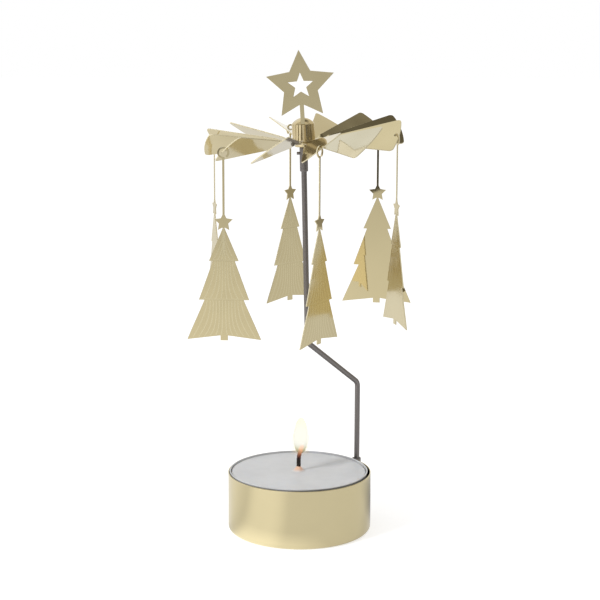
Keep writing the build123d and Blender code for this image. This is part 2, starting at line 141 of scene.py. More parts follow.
# Lighter and darker stretches of the floor as metal sees them: azimuth, half width in degrees,
# the light added, and the distances in metres over which a stretch sets in
FLOOR_STRETCHES = (
    ("front left", -134, 34, 0.24, 0.0, 0.01),
    ("back left", -50, 50, 0.15, 0.0, 0.01),
    ("near back right", 30, 55, -0.36, 0.075, 0.05),
    ("by the cup", -150, 60, 0.3, 0.034, 0.024),
    ("far front", 180, 14, -0.13, 0.5, 0.7),
    ("far front right", 146, 27, -0.62, 0.15, 0.32),
)

# The room as metal sees it on the camera's side and behind the object, and the plain light of all
# the rest
ROOM_IN_FRONT = (0.19, 0.18, 0.155)
ROOM_BEHIND = (0.70, 0.66, 0.56)
PLAIN_ROOM = (0.64, 0.635, 0.63)

# The flame's colours, from the coolest shell to the hottest
FLAME_TONES = (
    (0.0, (1.0, 0.62, 0.46, 1.0)), (0.3, (1.0, 0.80, 0.50, 1.0)),
    (0.62, (0.97, 0.93, 0.60, 1.0)), (1.0, (1.0, 1.0, 0.985, 1.0)),
)


def corners(node):
    """Lowest and highest corner of a CAD node, as arrays."""
    low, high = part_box(node)
    return np.array(low), np.array(high)


CUP_LOW, CUP_HIGH = corners("base_cup")
TEALIGHT_LOW, TEALIGHT_HIGH = corners("tealight_cup")
SOCKET_LOW, SOCKET_HIGH = corners("rod_socket")
TEALIGHT_FOOT = (TEALIGHT_LOW + TEALIGHT_HIGH) / 2 * [1, 1, 0] + TEALIGHT_LOW * UP
TEALIGHT_HEIGHT = (TEALIGHT_HIGH - TEALIGHT_LOW)[2] / MM
CUP_HEIGHT = CUP_HIGH[2] / MM
SOCKET_FOOT = SOCKET_LOW[2] / MM
SOCKET_HEIGHT = (SOCKET_HIGH - SOCKET_LOW)[2] / MM


def size(name, description, millimetres):
    """Length property, given in millimetres and kept in metres."""
    return bpy.props.FloatProperty(
        name=name, description=description, default=millimetres * MM, unit="LENGTH", precision=5
    )


def angle(name, description, degrees):
    """Angle property, given in degrees and kept in radians."""
    return bpy.props.FloatProperty(
        name=name, description=description, default=math.radians(degrees), subtype="ANGLE"
    )


def share(name, description, value):
    """Property for a share of something, or a plain strength."""
    return bpy.props.FloatProperty(
        name=name, description=description, default=value, subtype="FACTOR"
    )


def count(name, description, value):
    """Whole number property."""
    return bpy.props.IntProperty(name=name, description=description, default=value, min=1)


def colour(name, description, red, green, blue):
    """Colour property in linear light."""
    return bpy.props.FloatVectorProperty(
        name=name, description=description, default=(red, green, blue), subtype="COLOR", size=3
    )


class CupSizes(bpy.types.PropertyGroup):
    """Base cup, and the socket behind it."""

    radius: size("Radius", "Outer radius of the cup", 19.65)
    height: size("Height", "Height of the cup", CUP_HEIGHT)
    sheet: size("Sheet", "Thickness of the cup's sheet", 0.3)
    bottom_round: size("Bottom round", "Outer round between floor and wall", 1.3)
    rim_round: size("Rim round", "Round along the cup's rim", 0.1)
    unevenness: size("Unevenness", "How far the drawn wall wanders inwards", 0.03)
    socket_azimuth: angle("Socket azimuth", "Where the socket stands behind the cup", 39)
    socket_distance: size("Socket distance", "From the cup's axis to the socket's", 20.93)
    socket_foot: size("Socket foot", "Height of the socket's underside", SOCKET_FOOT)
    socket_height: size("Socket height", "Length of the socket's tube", SOCKET_HEIGHT)
    socket_radius: size("Socket radius", "Outer radius of the socket's tube", 1.18)
    socket_bore: size("Socket bore", "Inner radius of the socket's tube", 0.78)
    socket_floor: size("Socket floor", "Thickness of the socket's floor", 0.8)
    web_width: size("Web width", "Width of the web between socket and cup", 1.6)


class TealightSizes(bpy.types.PropertyGroup):
    """Aluminium cup, wax and wick."""

    radius: size("Radius", "Radius of the aluminium cup over its lip", 19.0)
    height: size("Height", "Height of the aluminium cup", TEALIGHT_HEIGHT)
    sheet: size("Sheet", "Thickness of the aluminium", 0.2)
    lip: size("Lip", "How far the rolled lip stands out", 0.15)
    bottom_round: size("Bottom round", "Round between floor and wall", 1.5)
    ripple: size("Ripple", "Depth of the press marks in the wall", 0.035)
    ripple_count: count("Ripple count", "Number of press marks round the wall", 36)
    wax_gap: size("Wax gap", "Shrinkage gap between wax and wall", 0.12)
    wax_below_rim: size("Wax below rim", "From the rim down to the flat wax", 0.4)
    wax_edge_round: size("Wax edge round", "Round along the wax's edge", 0.4)
    wax_unevenness: size("Wax unevenness", "Depth of the soft hollows in the wax", 0.09)
    mound_radius: size("Mound radius", "Radius of the wax drawn up round the wick", 2.1)
    mound_height: size("Mound height", "Height of the wax drawn up round the wick", 1.75)
    wick_radius: size("Wick radius", "Radius of the wick", 0.6)
    wick_straight: size("Wick straight", "Upright length of the wick above the wax", 2.6)
    wick_bend_radius: size("Wick bend radius", "Radius of the wick's curl", 10.5)
    wick_bend_angle: angle("Wick bend angle", "Angle of the wick's curl", 27.5)
    strand_depth: size("Strand depth", "Depth of the braid's furrows", 0.05)
    strand_pitch: size("Strand pitch", "Length of one turn of the braid", 1.9)


class FlameSizes(bpy.types.PropertyGroup):
    """The flame on the wick."""

    foot: size("Foot", "Height of the flame's lower end above the cup's underside", 17.0)
    tip: size("Tip", "Height of the flame's tip", 31.4)
    half_width: size("Half width", "Half width of the flame where it is widest", 2.55)
    centre_x: size("Centre", "Where the flame's foot stands, to the right of the axis", 0.25)
    lean: size("Lean", "How far the tip leans to the right", 0.15)
    widest_share: share("Widest share", "Where the flame is widest, as a share of its height", 0.42)


class RodSizes(bpy.types.PropertyGroup):
    """Bent rod and the sleeve on its upper end."""

    radius: size("Radius", "Radius of the rod", 0.75)
    foot_above_socket: size("Foot above socket", "Rod's foot above the socket's underside", 0.8)
    lower_bend: size("Lower bend", "Height of the lower bend's corner", 38.2)
    upper_bend: size("Upper bend", "Height of the upper bend's corner", 52.1)
    upper_run: size("Upper run", "Level run of the rod's upper leg", 1.8)
    bend_radius: size("Bend radius", "Radius of both bends", 2.2)
    end_below_tip: size("End below tip", "From the needle's tip down to the rod's end", 8.3)
    end_round: size("End round", "Round at the rod's foot", 0.2)
    sleeve_radius: size("Sleeve radius", "Outer radius of the sleeve", 1.1)
    sleeve_top: size("Sleeve top", "From the needle's tip down to the sleeve", 5.1)
    sleeve_length: size("Sleeve length", "Length of the sleeve", 6.4)
    sleeve_round: size("Sleeve round", "Round at the sleeve's ends", 0.15)
    needle_hole: size("Needle hole", "Radius of the hole that the needle stands in", 0.5)
    nub_radius: size("Nub radius", "Radius of the nub on the sleeve's side", 0.4)
    nub_reach: size("Nub reach", "How far the nub stands out of the sleeve", 0.75)
    nub_below_top: size("Nub below top", "From the sleeve's top down to the nub", 1.6)


class RotorSizes(bpy.types.PropertyGroup):
    """Sheet rotor with its pitched blades."""

    sheet: size("Sheet", "Thickness of the sheet", 0.3)
    edge_round: size("Edge round", "Round along the cut edges of the sheet", 0.04)
    lean_left: angle("Lean left", "How far the rotor hangs down to the left", 3.7)
    lean_front: angle("Lean front", "How far the rotor hangs down to the front", 2.9)
    pivot_height: size("Pivot height", "Needle's tip above the middle of the sheet", 3.6)
    blades: count("Blades", "Number of blades", 12)
    first_blade: angle("First blade", "Azimuth of the first blade", -20.2)
    rise: angle("Rise", "How far the blades bend up at the hub's edge", 3.5)
    pitch: angle("Pitch", "Angle between a blade and the hub's flat sheet", 32)
    hub_radius: size("Hub radius", "From the axis to the flats of the hub's edge", 5.0)
    hub_hole: size("Hub hole", "Radius of the hole for the cap's neck", 2.2)
    neck_overlap: size("Neck overlap", "How far a neck reaches into the hub", 0.12)
    neck_width: size("Neck width", "Width of a blade's neck at the hub", 2.0)
    blade_start: size("Blade start", "Where the neck's twist ends", 7.2)
    root_width: size("Root width", "Width of a blade where the twist ends", 3.2)
    tip_radius: size("Tip radius", "From the axis to the blades' tips", 26.5)
    tip_half_angle: angle("Tip half angle", "Half the angle that a blade's tip spans", 13.9)
    corner_round: size("Corner round", "Round at a blade's outer corners", 1.0)
    hole_radius: size("Hole radius", "Radius of a hanging hole", 0.6)
    hole_distance: size("Hole distance", "From the axis to a hanging hole", 25.65)
    unevenness: size("Unevenness", "How far a blade's polished face wanders", 0.02)


class HubSizes(bpy.types.PropertyGroup):
    """Domed cap and collar. Heights are above the middle of the rotor's sheet."""

    radius: size("Radius", "Radius of the cap", 3.02)
    rim_radius: size("Rim radius", "Radius of the cap's foot rim", 3.17)
    rim_height: size("Rim height", "Height of the foot rim", 0.35)
    shoulder: size("Shoulder", "Height of the crease under the dome", 4.75)
    top: size("Top", "Height of the dome's top", 6.35)
    seat_top: size("Seat top", "Height of the roof over the pivot seat", 4.3)
    bore: size("Bore", "Radius of the bore", 1.9)
    neck_bottom: size("Neck bottom", "Height of the neck's lower end", -1.25)
    edge_round: size("Edge round", "Round along the cap's edges", 0.07)
    slot_clearance: size("Slot clearance", "Room round the star's stem in its slot", 0.02)
    collar_radius: size("Collar radius", "Radius of the collar", 2.65)
    collar_round: size("Collar round", "Round at the collar's lower edge", 0.4)


class StarSizes(bpy.types.PropertyGroup):
    """Star on the hub."""

    radius: size("Radius", "From the centre to the tips", 9.35)
    notch_share: share("Notch share", "Notches as a share of the radius", 0.5)
    window_radius: size("Window radius", "From the centre to the window's tips", 3.46)
    window_notch_share: share("Window notch share", "Notches of the window", 0.43)
    centre_height: size("Centre height", "Star's centre above the rotor's sheet", 14.9)
    setback: size("Setback", "From the hub's axis forwards to the star's sheet", 1.9)
    stem_width: size("Stem width", "Width of the stem", 1.12)


class TreeSizes(bpy.types.PropertyGroup):
    """Hanging trees. Drops are measured down from the hook ring's centre."""

    ring_radius: size("Ring radius", "Outer radius of the hook ring", 1.55)
    ring_strip: size("Ring strip", "Width of the ring's strip", 0.5)
    gap_start: angle("Gap start", "Start of the ring's gap, from its bottom", 11)
    gap_end: angle("Gap end", "End of the ring's gap, from its bottom", 37)
    stem_width: size("Stem width", "Width of the stem", 0.56)
    star_drop: size("Star drop", "Drop of the small star's centre", 17.8)
    star_radius: size("Star radius", "From the small star's centre to its tips", 2.5)
    star_notch_share: share("Star notch share", "Notches of the small star", 0.5)
    apex_drop: size("Apex drop", "Drop of the tree's top", 19.134)
    apex_half_width: size("Apex half width", "Half width of the tree behind its star", 0.14)
    first_drop: size("First drop", "Drop of the first tier's lower edge", 27.884)
    second_drop: size("Second drop", "Drop of the second tier's lower edge", 38.084)
    third_drop: size("Third drop", "Drop of the lowest corners", 48.584)
    first_half: size("First half width", "Half width of the first tier", 3.85)
    second_half: size("Second half width", "Half width of the second tier", 6.54)
    third_half: size("Third half width", "Half width of the third tier", 9.66)
    first_notch: size("First notch", "Half width under the first tier", 2.86)
    second_notch: size("Second notch", "Half width under the second tier", 5.1)
    skirt_rise: size("Skirt rise", "From the lowest corners up to the trunk", 1.1)
    trunk_half: size("Trunk half width", "Half width of the trunk", 0.97)
    trunk_length: size("Trunk length", "Length of the trunk", 1.3)
    groove_depth: size("Groove depth", "Depth of the engraved lines", 0.0025)
    groove_width: size("Groove width", "Half width of an engraved line", 0.12)


class Finishes(bpy.types.PropertyGroup):
    """Colours of the finishes, in linear light."""

    brass: colour("Brass", "Champagne brass sheet", 0.715, 0.622, 0.38)
    brass_dark: colour("Brass shade", "Darker drifts in the brass", 0.665, 0.572, 0.34)
    engraved: colour("Engraved brass", "Satin face of the trees", 0.69, 0.595, 0.355)
    groove: colour("Groove", "Bright metal in the engraved lines", 0.80, 0.715, 0.46)
    cut_edge: colour("Cut edge", "Bare metal along the cut edges", 0.76, 0.68, 0.46)
    # Painted shade: darker than the sheet brass, standing in for the dim surroundings that the
    # mirror-bright cap reflects.
    polish_painted_dark: colour("Polished brass", "Hub cap and collar", 0.40, 0.29, 0.125)
    steel: colour("Dark steel", "Drawn rod and sleeve", 0.25, 0.227, 0.22)
    bright_steel: colour("Bright steel", "Needle", 0.60, 0.59, 0.57)
    aluminium: colour("Aluminium", "Tealight cup", 0.72, 0.73, 0.74)
    tin: colour("Tin plate", "Wick sustainer", 0.52, 0.52, 0.50)
    wax: colour("Wax", "Paraffin", 0.675, 0.685, 0.70)
    char: colour("Char", "Burnt wick", 0.008, 0.006, 0.005)
    ember: colour("Ember", "Glowing end of the wick", 1.0, 0.22, 0.04)
    # Painted light: the flame's warm glow painted into the wax's colour round the wick.
    painted_flame_glow: colour("Warm wax", "Wax in the flame's glow round the wick", 0.80, 0.50, 0.34)


class StudioSettings(bpy.types.PropertyGroup):
    """Camera, lights, floor and surroundings."""

    focal_pixels: bpy.props.FloatProperty(
        name="Focal length", description="Focal length in pixels of the picture", default=1524.33
    )
    picture_width: count("Picture width", "Width of the picture in pixels", 600)
    camera_distance: size("Camera distance", "From the object's axis to the camera", 405.418)
    camera_height: size("Camera height", "Camera above the floor", 136.971)
    camera_tilt: angle("Camera tilt", "How far the camera looks down", 10.204)
    camera_roll: angle("Camera roll", "How far the camera's right side turns up", 0.183)
    floor_left: size("Floor left", "From the object to the floor's left end", 2500)
    floor_right: size("Floor right", "From the object to the floor's right end", 800)
    floor_front: size("Floor front", "From the object to the floor's front end", 1800)
    step_left: size("Step left", "Where the front end's left part starts, to the left", 203)
    step_front: size("Step front", "From the object to that part's end, to the front", 790)
    slant_front: size("Slant front", "Where the front end widens again, to the front", 1027)
    slant_left: size("Slant left", "From the object to that widening's end, to the left", 304.5)
    floor_back: size("Floor back", "From the object to the floor's back end", 3600)
    cut_start: size("Cut start", "Where the floor's right end turns in", 65)
    cut_side: size("Cut side", "From the object to the inner end of that cut, sideways", 540)
    cut_back: size("Cut back", "From the object to the inner end of that cut, backwards", 355)
    floor_tone: share("Floor tone", "How much light the floor gives back", 0.78)
    floor_lift: share("Floor lift", "Light added to the floor as the camera sees it", 0.57)
    floor_gloss: share("Floor gloss", "Share of the floor's own tone that metal sees", 0.45)
    floor_glow: share("Floor glow", "Light added to the floor as metal sees it", 0.49)
    key_power: share("Key power", "Watts of the soft lamp", 1.7)
    key_size: size("Key size", "Side of the soft lamp", 130)
    key_distance: size("Key distance", "From the object to the soft lamp", 560)
    key_azimuth: angle("Key azimuth", "Soft lamp's azimuth, from +Y towards +X", -130)
    key_elevation: angle("Key elevation", "Soft lamp's height above the floor", 30)


class HolderSettings(bpy.types.PropertyGroup):
    """All settings of the holder."""

    cup: bpy.props.PointerProperty(type=CupSizes)
    tealight: bpy.props.PointerProperty(type=TealightSizes)
    flame: bpy.props.PointerProperty(type=FlameSizes)
    rod: bpy.props.PointerProperty(type=RodSizes)
    rotor: bpy.props.PointerProperty(type=RotorSizes)
    hub: bpy.props.PointerProperty(type=HubSizes)
    star: bpy.props.PointerProperty(type=StarSizes)
    trees: bpy.props.PointerProperty(type=TreeSizes)
    finishes: bpy.props.PointerProperty(type=Finishes)
    studio: bpy.props.PointerProperty(type=StudioSettings)


def unit(vectors):
    """Vectors scaled to length one."""
    return vectors / np.linalg.norm(vectors, axis=-1, keepdims=True)


def ease(values):
    """Smooth step from 0 to 1: three times the square less twice the cube."""
    values = np.clip(values, 0, 1)
    return values * values * (3 - 2 * values)


def heading(azimuth, elevation):
    """Unit vector at an azimuth, from +Y towards +X, and an elevation."""
    level = math.cos(elevation)
    return np.array([level * math.sin(azimuth), level * math.cos(azimuth), math.sin(elevation)])


def run(start, end, points=2):
    """Evenly spaced points of a straight stretch in a profile, both ends included."""
    return np.linspace(start, end, points)


def arc(centre, radius, start, end, points=9):
    """Arc in a profile: the centre plus the radius times cosine and sine of even angles, which
    are given in degrees."""
    turns = np.radians(np.linspace(start, end, points))
    return np.array(centre) + radius * np.column_stack([np.cos(turns), np.sin(turns)])


class Skin:
    """Grids of points gathered into one surface. Its marks say from 0 to 1 how far a point is part
    of a cut edge; of an engraved line, a hot place, or the flame's glow painted on the wax round
    the wick; and of a satin face."""

    def __init__(self):
        self.points, self.quads, self.count = [], [], 0
        self.marks = {"edge": [], "groove": [], "satin": []}

    def add(self, points, ring=False, **marks):
        """Add a grid of points. A ring's last column joins its first."""
        rows, columns = points.shape[:2]
        index = np.arange(rows * columns).reshape(rows, columns) + self.count
        if ring:
            index = np.column_stack([index, index[:, 0]])
        quads = [index[:-1, :-1], index[1:, :-1], index[1:, 1:], index[:-1, 1:]]
        self.quads.append(np.stack(quads, axis=-1).reshape(-1, 4))
        self.points.append(points.reshape(-1, 3))
        for mark, values in self.marks.items():
            values.append(np.broadcast_to(marks.get(mark, 0.0), (rows, columns)).ravel())
        self.count += rows * columns


def turned(skin, profile, foot, axis=UP, turns=128, shape=None, groove=0.0):
    """Surface of revolution: the foot, plus height along the axis, plus radius times a direction
    that goes round it. The profile holds radius and height; shape may change both by angle."""
    angles = np.linspace(0, WHOLE_TURN, turns, endpoint=False)
    radius, height = (np.repeat(column[:, None], turns, axis=1) for column in profile.T)
    if shape:
        radius, height = shape(radius, height, angles[None, :])
    side = unit(np.cross([0.0, 1.0, 0.0], axis))
    front = np.cross(axis, side)
    spoke = np.cos(angles)[:, None] * side + np.sin(angles)[:, None] * front
    skin.add(foot + height[..., None] * axis + radius[..., None] * spoke, ring=True, groove=groove)


def carried(skin, path, radii, turns, braid=None, groove=0.0):
    """Round section carried along a path: each point of the path, plus its radius times a
    direction that goes round the path's own direction. Both ends close on the path."""
    along = unit(np.gradient(path, axis=0))
    side = unit(np.cross(along, np.cross(UP, path[-1] - path[0]) + [1e-6, 2e-6, 0]))
    front = np.cross(along, side)
    angles = np.linspace(0, WHOLE_TURN, turns, endpoint=False)
    spoke = np.cos(angles)[:, None] * side[:, None] + np.sin(angles)[:, None] * front[:, None]
    reach = np.repeat(radii[:, None], turns, axis=1)
    if braid is not None:
        reach = reach - braid(angles[None, :])
    skin.add(path[:, None] + reach[..., None] * spoke, ring=True, groove=groove)


def outward(loop, hole=False):
    """Miter direction at each corner of a closed outline, away from the sheet: the sum of its two
    edges' normals, divided by one plus their dot product."""
    ahead = unit(np.roll(loop, -1, axis=0) - loop)
    after = np.roll(loop, -1, axis=0)
    area = np.sum(loop[:, 0] * after[:, 1] - after[:, 0] * loop[:, 1])
    side = np.sign(area) * (-1 if hole else 1)
    normal = np.column_stack([ahead[:, 1], -ahead[:, 0]]) * side
    before = np.roll(normal, 1, axis=0)
    return (normal + before) / (1 + np.sum(normal * before, axis=1, keepdims=True))


def border(flat):
    """Closed outline of a grid of flat points, corner after corner."""
    return np.vstack([flat[:-1, 0], flat[-1, :-1], flat[:0:-1, -1], flat[0, :0:-1]])


def sheet_faces(skin, flat, place, half, ring=False, sunk=0.0, groove=0.0, satin=0.0):
    """Both faces of a sheet: the flat grid at plus and at minus half the thickness. The front
    face may be sunk by a depth at each point, and may be satin."""
    x, y = flat[..., 0], flat[..., 1]
    skin.add(place(x, y, half - sunk + 0 * x), ring=ring, groove=groove, satin=satin)
    skin.add(place(x, y, -half + 0 * x), ring=ring)


def sheet_rim(skin, loop, place, half, bevel, hole=False):
    """Cut edge of a sheet: the outline moved out along its miters by a quarter round at each face,
    from the front face's height to the back face's."""
    turn = np.radians([0, 30, 60, 90])
    out = bevel * np.concatenate([np.sin(turn), np.sin(turn)[::-1]])
    drop = half - bevel * (1 - np.cos(turn))
    height = np.concatenate([drop, -drop[::-1]])
    points = loop[None] + out[:, None, None] * outward(loop, hole)[None]
    mark = (out > bevel / 2)[:, None].astype(float)
    heights = np.repeat(height[:, None], len(loop), axis=1)
    skin.add(place(points[..., 0], points[..., 1], heights), ring=True, edge=mark)


def panel(skin, flat, place, half, bevel, **marks):
    """Both faces of a flat grid, and the cut edge round it."""
    sheet_faces(skin, flat, place, half, **marks)
    sheet_rim(skin, border(flat), place, half, bevel)


def star_outline(radius, notch_share, inset, per_edge=8):
    """Five-pointed star as a closed outline: tips and notches in turn, scaled so that every edge
    moves in by the inset."""
    turns = math.pi / 2 + np.arange(10) * math.pi / 5
    reach = np.where(np.arange(10) % 2 == 0, radius, radius * notch_share)
    corner = reach[:, None] * np.column_stack([np.cos(turns), np.sin(turns)])
    step = corner[1] - corner[0]
    depth = abs(corner[0, 0] * corner[1, 1] - corner[0, 1] * corner[1, 0]) / np.linalg.norm(step)
    corner = corner * (depth - inset) / depth
    part = np.arange(per_edge)[None, :, None] / per_edge
    points = corner[:, None] * (1 - part) + np.roll(corner, -1, axis=0)[:, None] * part
    return points.reshape(-1, 2)


def between(inner, outer, rows):
    """Grid of flat points from one closed outline to another, in even steps."""
    part = np.linspace(0, 1, rows)[:, None, None]
    return inner[None] * (1 - part) + outer[None] * part


def rectangle(left, right, bottom, top, rows=2, columns=2):
    """Grid of flat points in a rectangle."""
    x, y = np.meshgrid(np.linspace(left, right, columns), np.linspace(bottom, top, rows))
    return np.stack([x, y], axis=-1)


def bent_path(corner_points, radius, step):
    """Straight runs joined by tangent arcs: each arc starts and ends the radius times the tangent
    of half the turn from its corner, and is swept in even angles about its centre."""
    pieces = [corner_points[:1]]
    for before, corner, after in zip(corner_points, corner_points[1:], corner_points[2:]):
        towards, away = unit(corner - before), unit(after - corner)
        turn = math.acos(np.clip(towards @ away, -1, 1))
        start = corner - towards * radius * math.tan(turn / 2)
        inward = unit(away - towards * (towards @ away))
        sweep = np.linspace(0, turn, 13)[:, None]
        pieces.append(start + radius * (np.sin(sweep) * towards + (1 - np.cos(sweep)) * inward))
    ends = [*pieces, corner_points[-1:]]
    filled = [ends[0]]
    for piece in ends[1:]:
        start, length = filled[-1][-1], np.linalg.norm(piece[0] - filled[-1][-1])
        filled.append(np.linspace(start, piece[0], max(2, int(length / step)))[1:-1])
        filled.append(piece)
    return np.vstack(filled)


def add_object(name, skin):
    """Object made of a skin, with its seams joined, its faces pointing out and its marks kept."""
    mesh = bpy.data.meshes.new(name)
    mesh.from_pydata(np.vstack(skin.points).tolist(), [], np.vstack(skin.quads).tolist())
    for mark, values in skin.marks.items():
        attribute = mesh.attributes.new(mark, "FLOAT", "POINT")
        attribute.data.foreach_set("value", np.concatenate(values).astype(np.float32))
    work = bmesh.new()
    work.from_mesh(mesh)
    bmesh.ops.remove_doubles(work, verts=work.verts, dist=MERGE_DISTANCE)
    bmesh.ops.recalc_face_normals(work, faces=work.faces)
    work.to_mesh(mesh)
    work.free()
    made = bpy.data.objects.new(name, mesh)
    bpy.context.scene.collection.objects.link(made)
    return made


def make_piece(name, skin, body, finish, replaces=(), crease=CREASE, cut=None):
    """Turn a skin into a named piece: shade it smooth but for its creases, give it its finish, and
    let it ride on its body."""
    piece = add_object(name, skin)
    if cut is not None:
        cut_away(piece, cut)
    piece.data.materials.clear()
    piece.data.materials.append(finish)
    piece.data.shade_smooth()
    piece.data.set_sharp_from_angle(angle=math.radians(crease))
    weighting = piece.modifiers.new("even_normals", "WEIGHTED_NORMAL")
    weighting.keep_sharp = True
    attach(piece, body)
    if replaces:
        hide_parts(*replaces)
    return piece


def cut_away(piece, skin):
    """Cut a closed skin out of a piece, and keep the result as the piece's mesh."""
    cutter = add_object("cutter", skin)
    cutting = piece.modifiers.new("slot", "BOOLEAN")
    cutting.operation = "DIFFERENCE"
    cutting.object = cutter
    bpy.context.view_layer.update()
    whole = piece.evaluated_get(bpy.context.evaluated_depsgraph_get())
    result = bpy.data.meshes.new_from_object(whole)
    piece.modifiers.clear()
    piece.data = result
    bpy.data.objects.remove(cutter)


class Graph:
    """Small helper that adds nodes to a material or world and links them."""

    def __init__(self, tree):
        self.tree = tree
        tree.nodes.clear()

    def add(self, kind, inputs=None, **settings):
        """Add a node, apply its settings, and set or link its inputs by name or number."""
        node = self.tree.nodes.new(kind)
        for key, value in settings.items():
            setattr(node, key, value)
        for key, value in (inputs or {}).items():
            self.put(node.inputs[key], value)
        return node

    def put(self, socket, value):
        """Link a socket to another node's output, or set it to a plain value."""
        if isinstance(value, bpy.types.NodeSocket):
            self.tree.links.new(value, socket)
        else:
            socket.default_value = value

    def position(self, scale=(1, 1, 1)):
        """Object coordinates, stretched by a scale on each axis."""
        place = self.add("ShaderNodeTexCoord").outputs["Object"]
        mapping = self.add("ShaderNodeMapping", {"Vector": place, "Scale": scale})
        return mapping.outputs["Vector"]

    def noise(self, place, scale, detail=3.0, roughness=0.55):
        """Noise from 0 to 1."""
        inputs = {"Vector": place, "Scale": scale, "Detail": detail, "Roughness": roughness}
        return self.add("ShaderNodeTexNoise", inputs).outputs["Fac"]

    def span(self, value, onto, within=(0.0, 1.0)):
        """A value taken from within one range onto another, and held inside it."""
        inputs = {"Value": value, "From Min": within[0], "From Max": within[1],
                  "To Min": onto[0], "To Max": onto[1]}
        return self.add("ShaderNodeMapRange", inputs).outputs["Result"]

    def mix(self, factor, first, second):
        """Mix of two colours."""
        node = self.add("ShaderNodeMix", {0: factor, 6: first, 7: second}, data_type="RGBA")
        return node.outputs[2]

    def blend(self, factor, first, second):
        """Mix of two numbers."""
        node = self.add("ShaderNodeMix", {0: factor, 2: first, 3: second}, data_type="FLOAT")
        return node.outputs[0]

    def math(self, operation, first, second=0.0):
        """Sum, product or other arithmetic on two numbers."""
        return self.add("ShaderNodeMath", {0: first, 1: second}, operation=operation).outputs[0]

    def attribute(self, name):
        """A value that the mesh holds at each point."""
        return self.add("ShaderNodeAttribute", attribute_name=name).outputs["Fac"]


def opaque(rgb):
    """A colour property with full opacity, as a node socket wants it."""
    return (*rgb, 1.0)


def new_material(name):
    """An empty node material with that name, or None with the one that is already there."""
    existing = bpy.data.materials.get(name)
    if existing:
        return existing, None
    made = bpy.data.materials.new(name)
    made.use_nodes = True
    return made, Graph(made.node_tree)


def close_material(graph, shader):
    """Link a shader to the material's output."""
    graph.add("ShaderNodeOutputMaterial", {"Surface": shader.outputs[0]})


def shaded(tone, part):
    """A colour with each channel taken to a part of itself."""
    return [part * channel for channel in tone]


def metal(name, tone, shade, rough, stretch, line_scale, line_depth, edge=None, groove=None,
          satin=None, mirror=1.0):
    """Metal with drifting tone, fine lines stretched along one axis and soft blotches in its
    gloss. Rough and satin are the lowest and highest roughness. Cut edges, engraved lines and
    satin faces have their own colour or a duller gloss."""
    material, graph = new_material(name)
    if graph is None:
        return material
    plain = graph.position()
    drift = graph.span(graph.noise(plain, DRIFT_SCALE, 2.0), (0.0, 1.0), (0.35, 0.7))
    lines = graph.noise(graph.position(stretch), line_scale, 4.0, 0.65)
    blotch = graph.noise(plain, 3.1 * DRIFT_SCALE, 3.0)
    base = graph.mix(drift, opaque(tone), opaque(shade))
    base = graph.mix(graph.span(lines, (0.0, 0.16), (0.55, 0.75)), base, opaque(shade))
    gloss = graph.span(graph.blend(0.5, lines, blotch), rough, NOISE_MIDDLE)
    if satin is not None:
        dull = graph.span(blotch, satin, NOISE_MIDDLE)
        gloss = graph.blend(graph.attribute("satin"), gloss, dull)
    if edge is not None:
        cut = graph.attribute("edge")
        base = graph.mix(cut, base, opaque(edge))
        gloss = graph.blend(cut, gloss, EDGE_ROUGHNESS)
        mirror = graph.blend(cut, mirror, EDGE_MIRROR)
    if groove is not None:
        line = graph.attribute("groove")
        base = graph.mix(line, base, opaque(groove))
        gloss = graph.blend(line, gloss, GROOVE_ROUGHNESS)
    bump = graph.add("ShaderNodeBump", {"Height": lines, "Distance": line_depth, "Strength": 1.0})
    shader = graph.add("ShaderNodeBsdfPrincipled", {
        "Base Color": base, "Roughness": gloss, "Metallic": mirror, "Normal": bump.outputs[0],
    })
    close_material(graph, shader)
    return material


def drawn_brass(tones):
    """Satin brass of the cup, with upright drawing lines."""
    return metal("drawn_brass", tones.brass, shaded(tones.brass, 0.97), rough=(0.08, 0.13),
                 stretch=(1, 1, 0.02), line_scale=2600.0, line_depth=0.001 * MM)


def rolled_brass(tones):
    """Polished brass sheet of the rotor, with faint rolling lines."""
    return metal("rolled_brass", tones.brass, tones.brass_dark, rough=(0.05, 0.11),
                 stretch=(1, 0.05, 1), line_scale=1900.0, line_depth=0.001 * MM,
                 edge=tones.cut_edge)


def star_brass(tones):
    """Brass sheet of the star, a little duller than the blades."""
    return metal("star_brass", tones.brass, tones.brass_dark, rough=(0.07, 0.12),
                 stretch=(0.05, 1, 1), line_scale=1900.0, line_depth=0.0004 * MM,
                 edge=tones.cut_edge)


def engraved_brass(tones):
    """Brass of the trees: a satin face, brighter in the engraved lines, and polished elsewhere."""
    return metal("engraved_brass", tones.engraved, shaded(tones.engraved, 0.97),
                 rough=(0.02, 0.045), stretch=(1, 1, 0.06), line_scale=2100.0,
                 line_depth=0.0003 * MM, edge=tones.cut_edge, groove=tones.groove,
                 satin=(0.1, 0.16))


def polished_brass(tones):
    """Mirror brass of the hub, with marks of the polishing wheel. Its base colour is darkened below
    the sheet brass as painted shade for the dim surroundings it mirrors.
    """
    return metal("polished_brass", tones.polish_painted_dark, tones.brass_dark, rough=(0.04, 0.09),
                 stretch=(1, 1, 14), line_scale=900.0, line_depth=0.0006 * MM)


def dark_steel(tones):
    """Dark drawn steel, with lines along the rod."""
    return metal("dark_steel", tones.steel, shaded(tones.steel, 0.72), rough=(0.08, 0.17),
                 stretch=(1, 1, 0.015), line_scale=5200.0, line_depth=0.003 * MM)


def bright_steel(tones):
    """Ground steel of the needle."""
    return metal("bright_steel", tones.bright_steel, shaded(tones.bright_steel, 0.8),
                 rough=(0.14, 0.28), stretch=(1, 1, 6), line_scale=2400.0, line_depth=0.001 * MM)


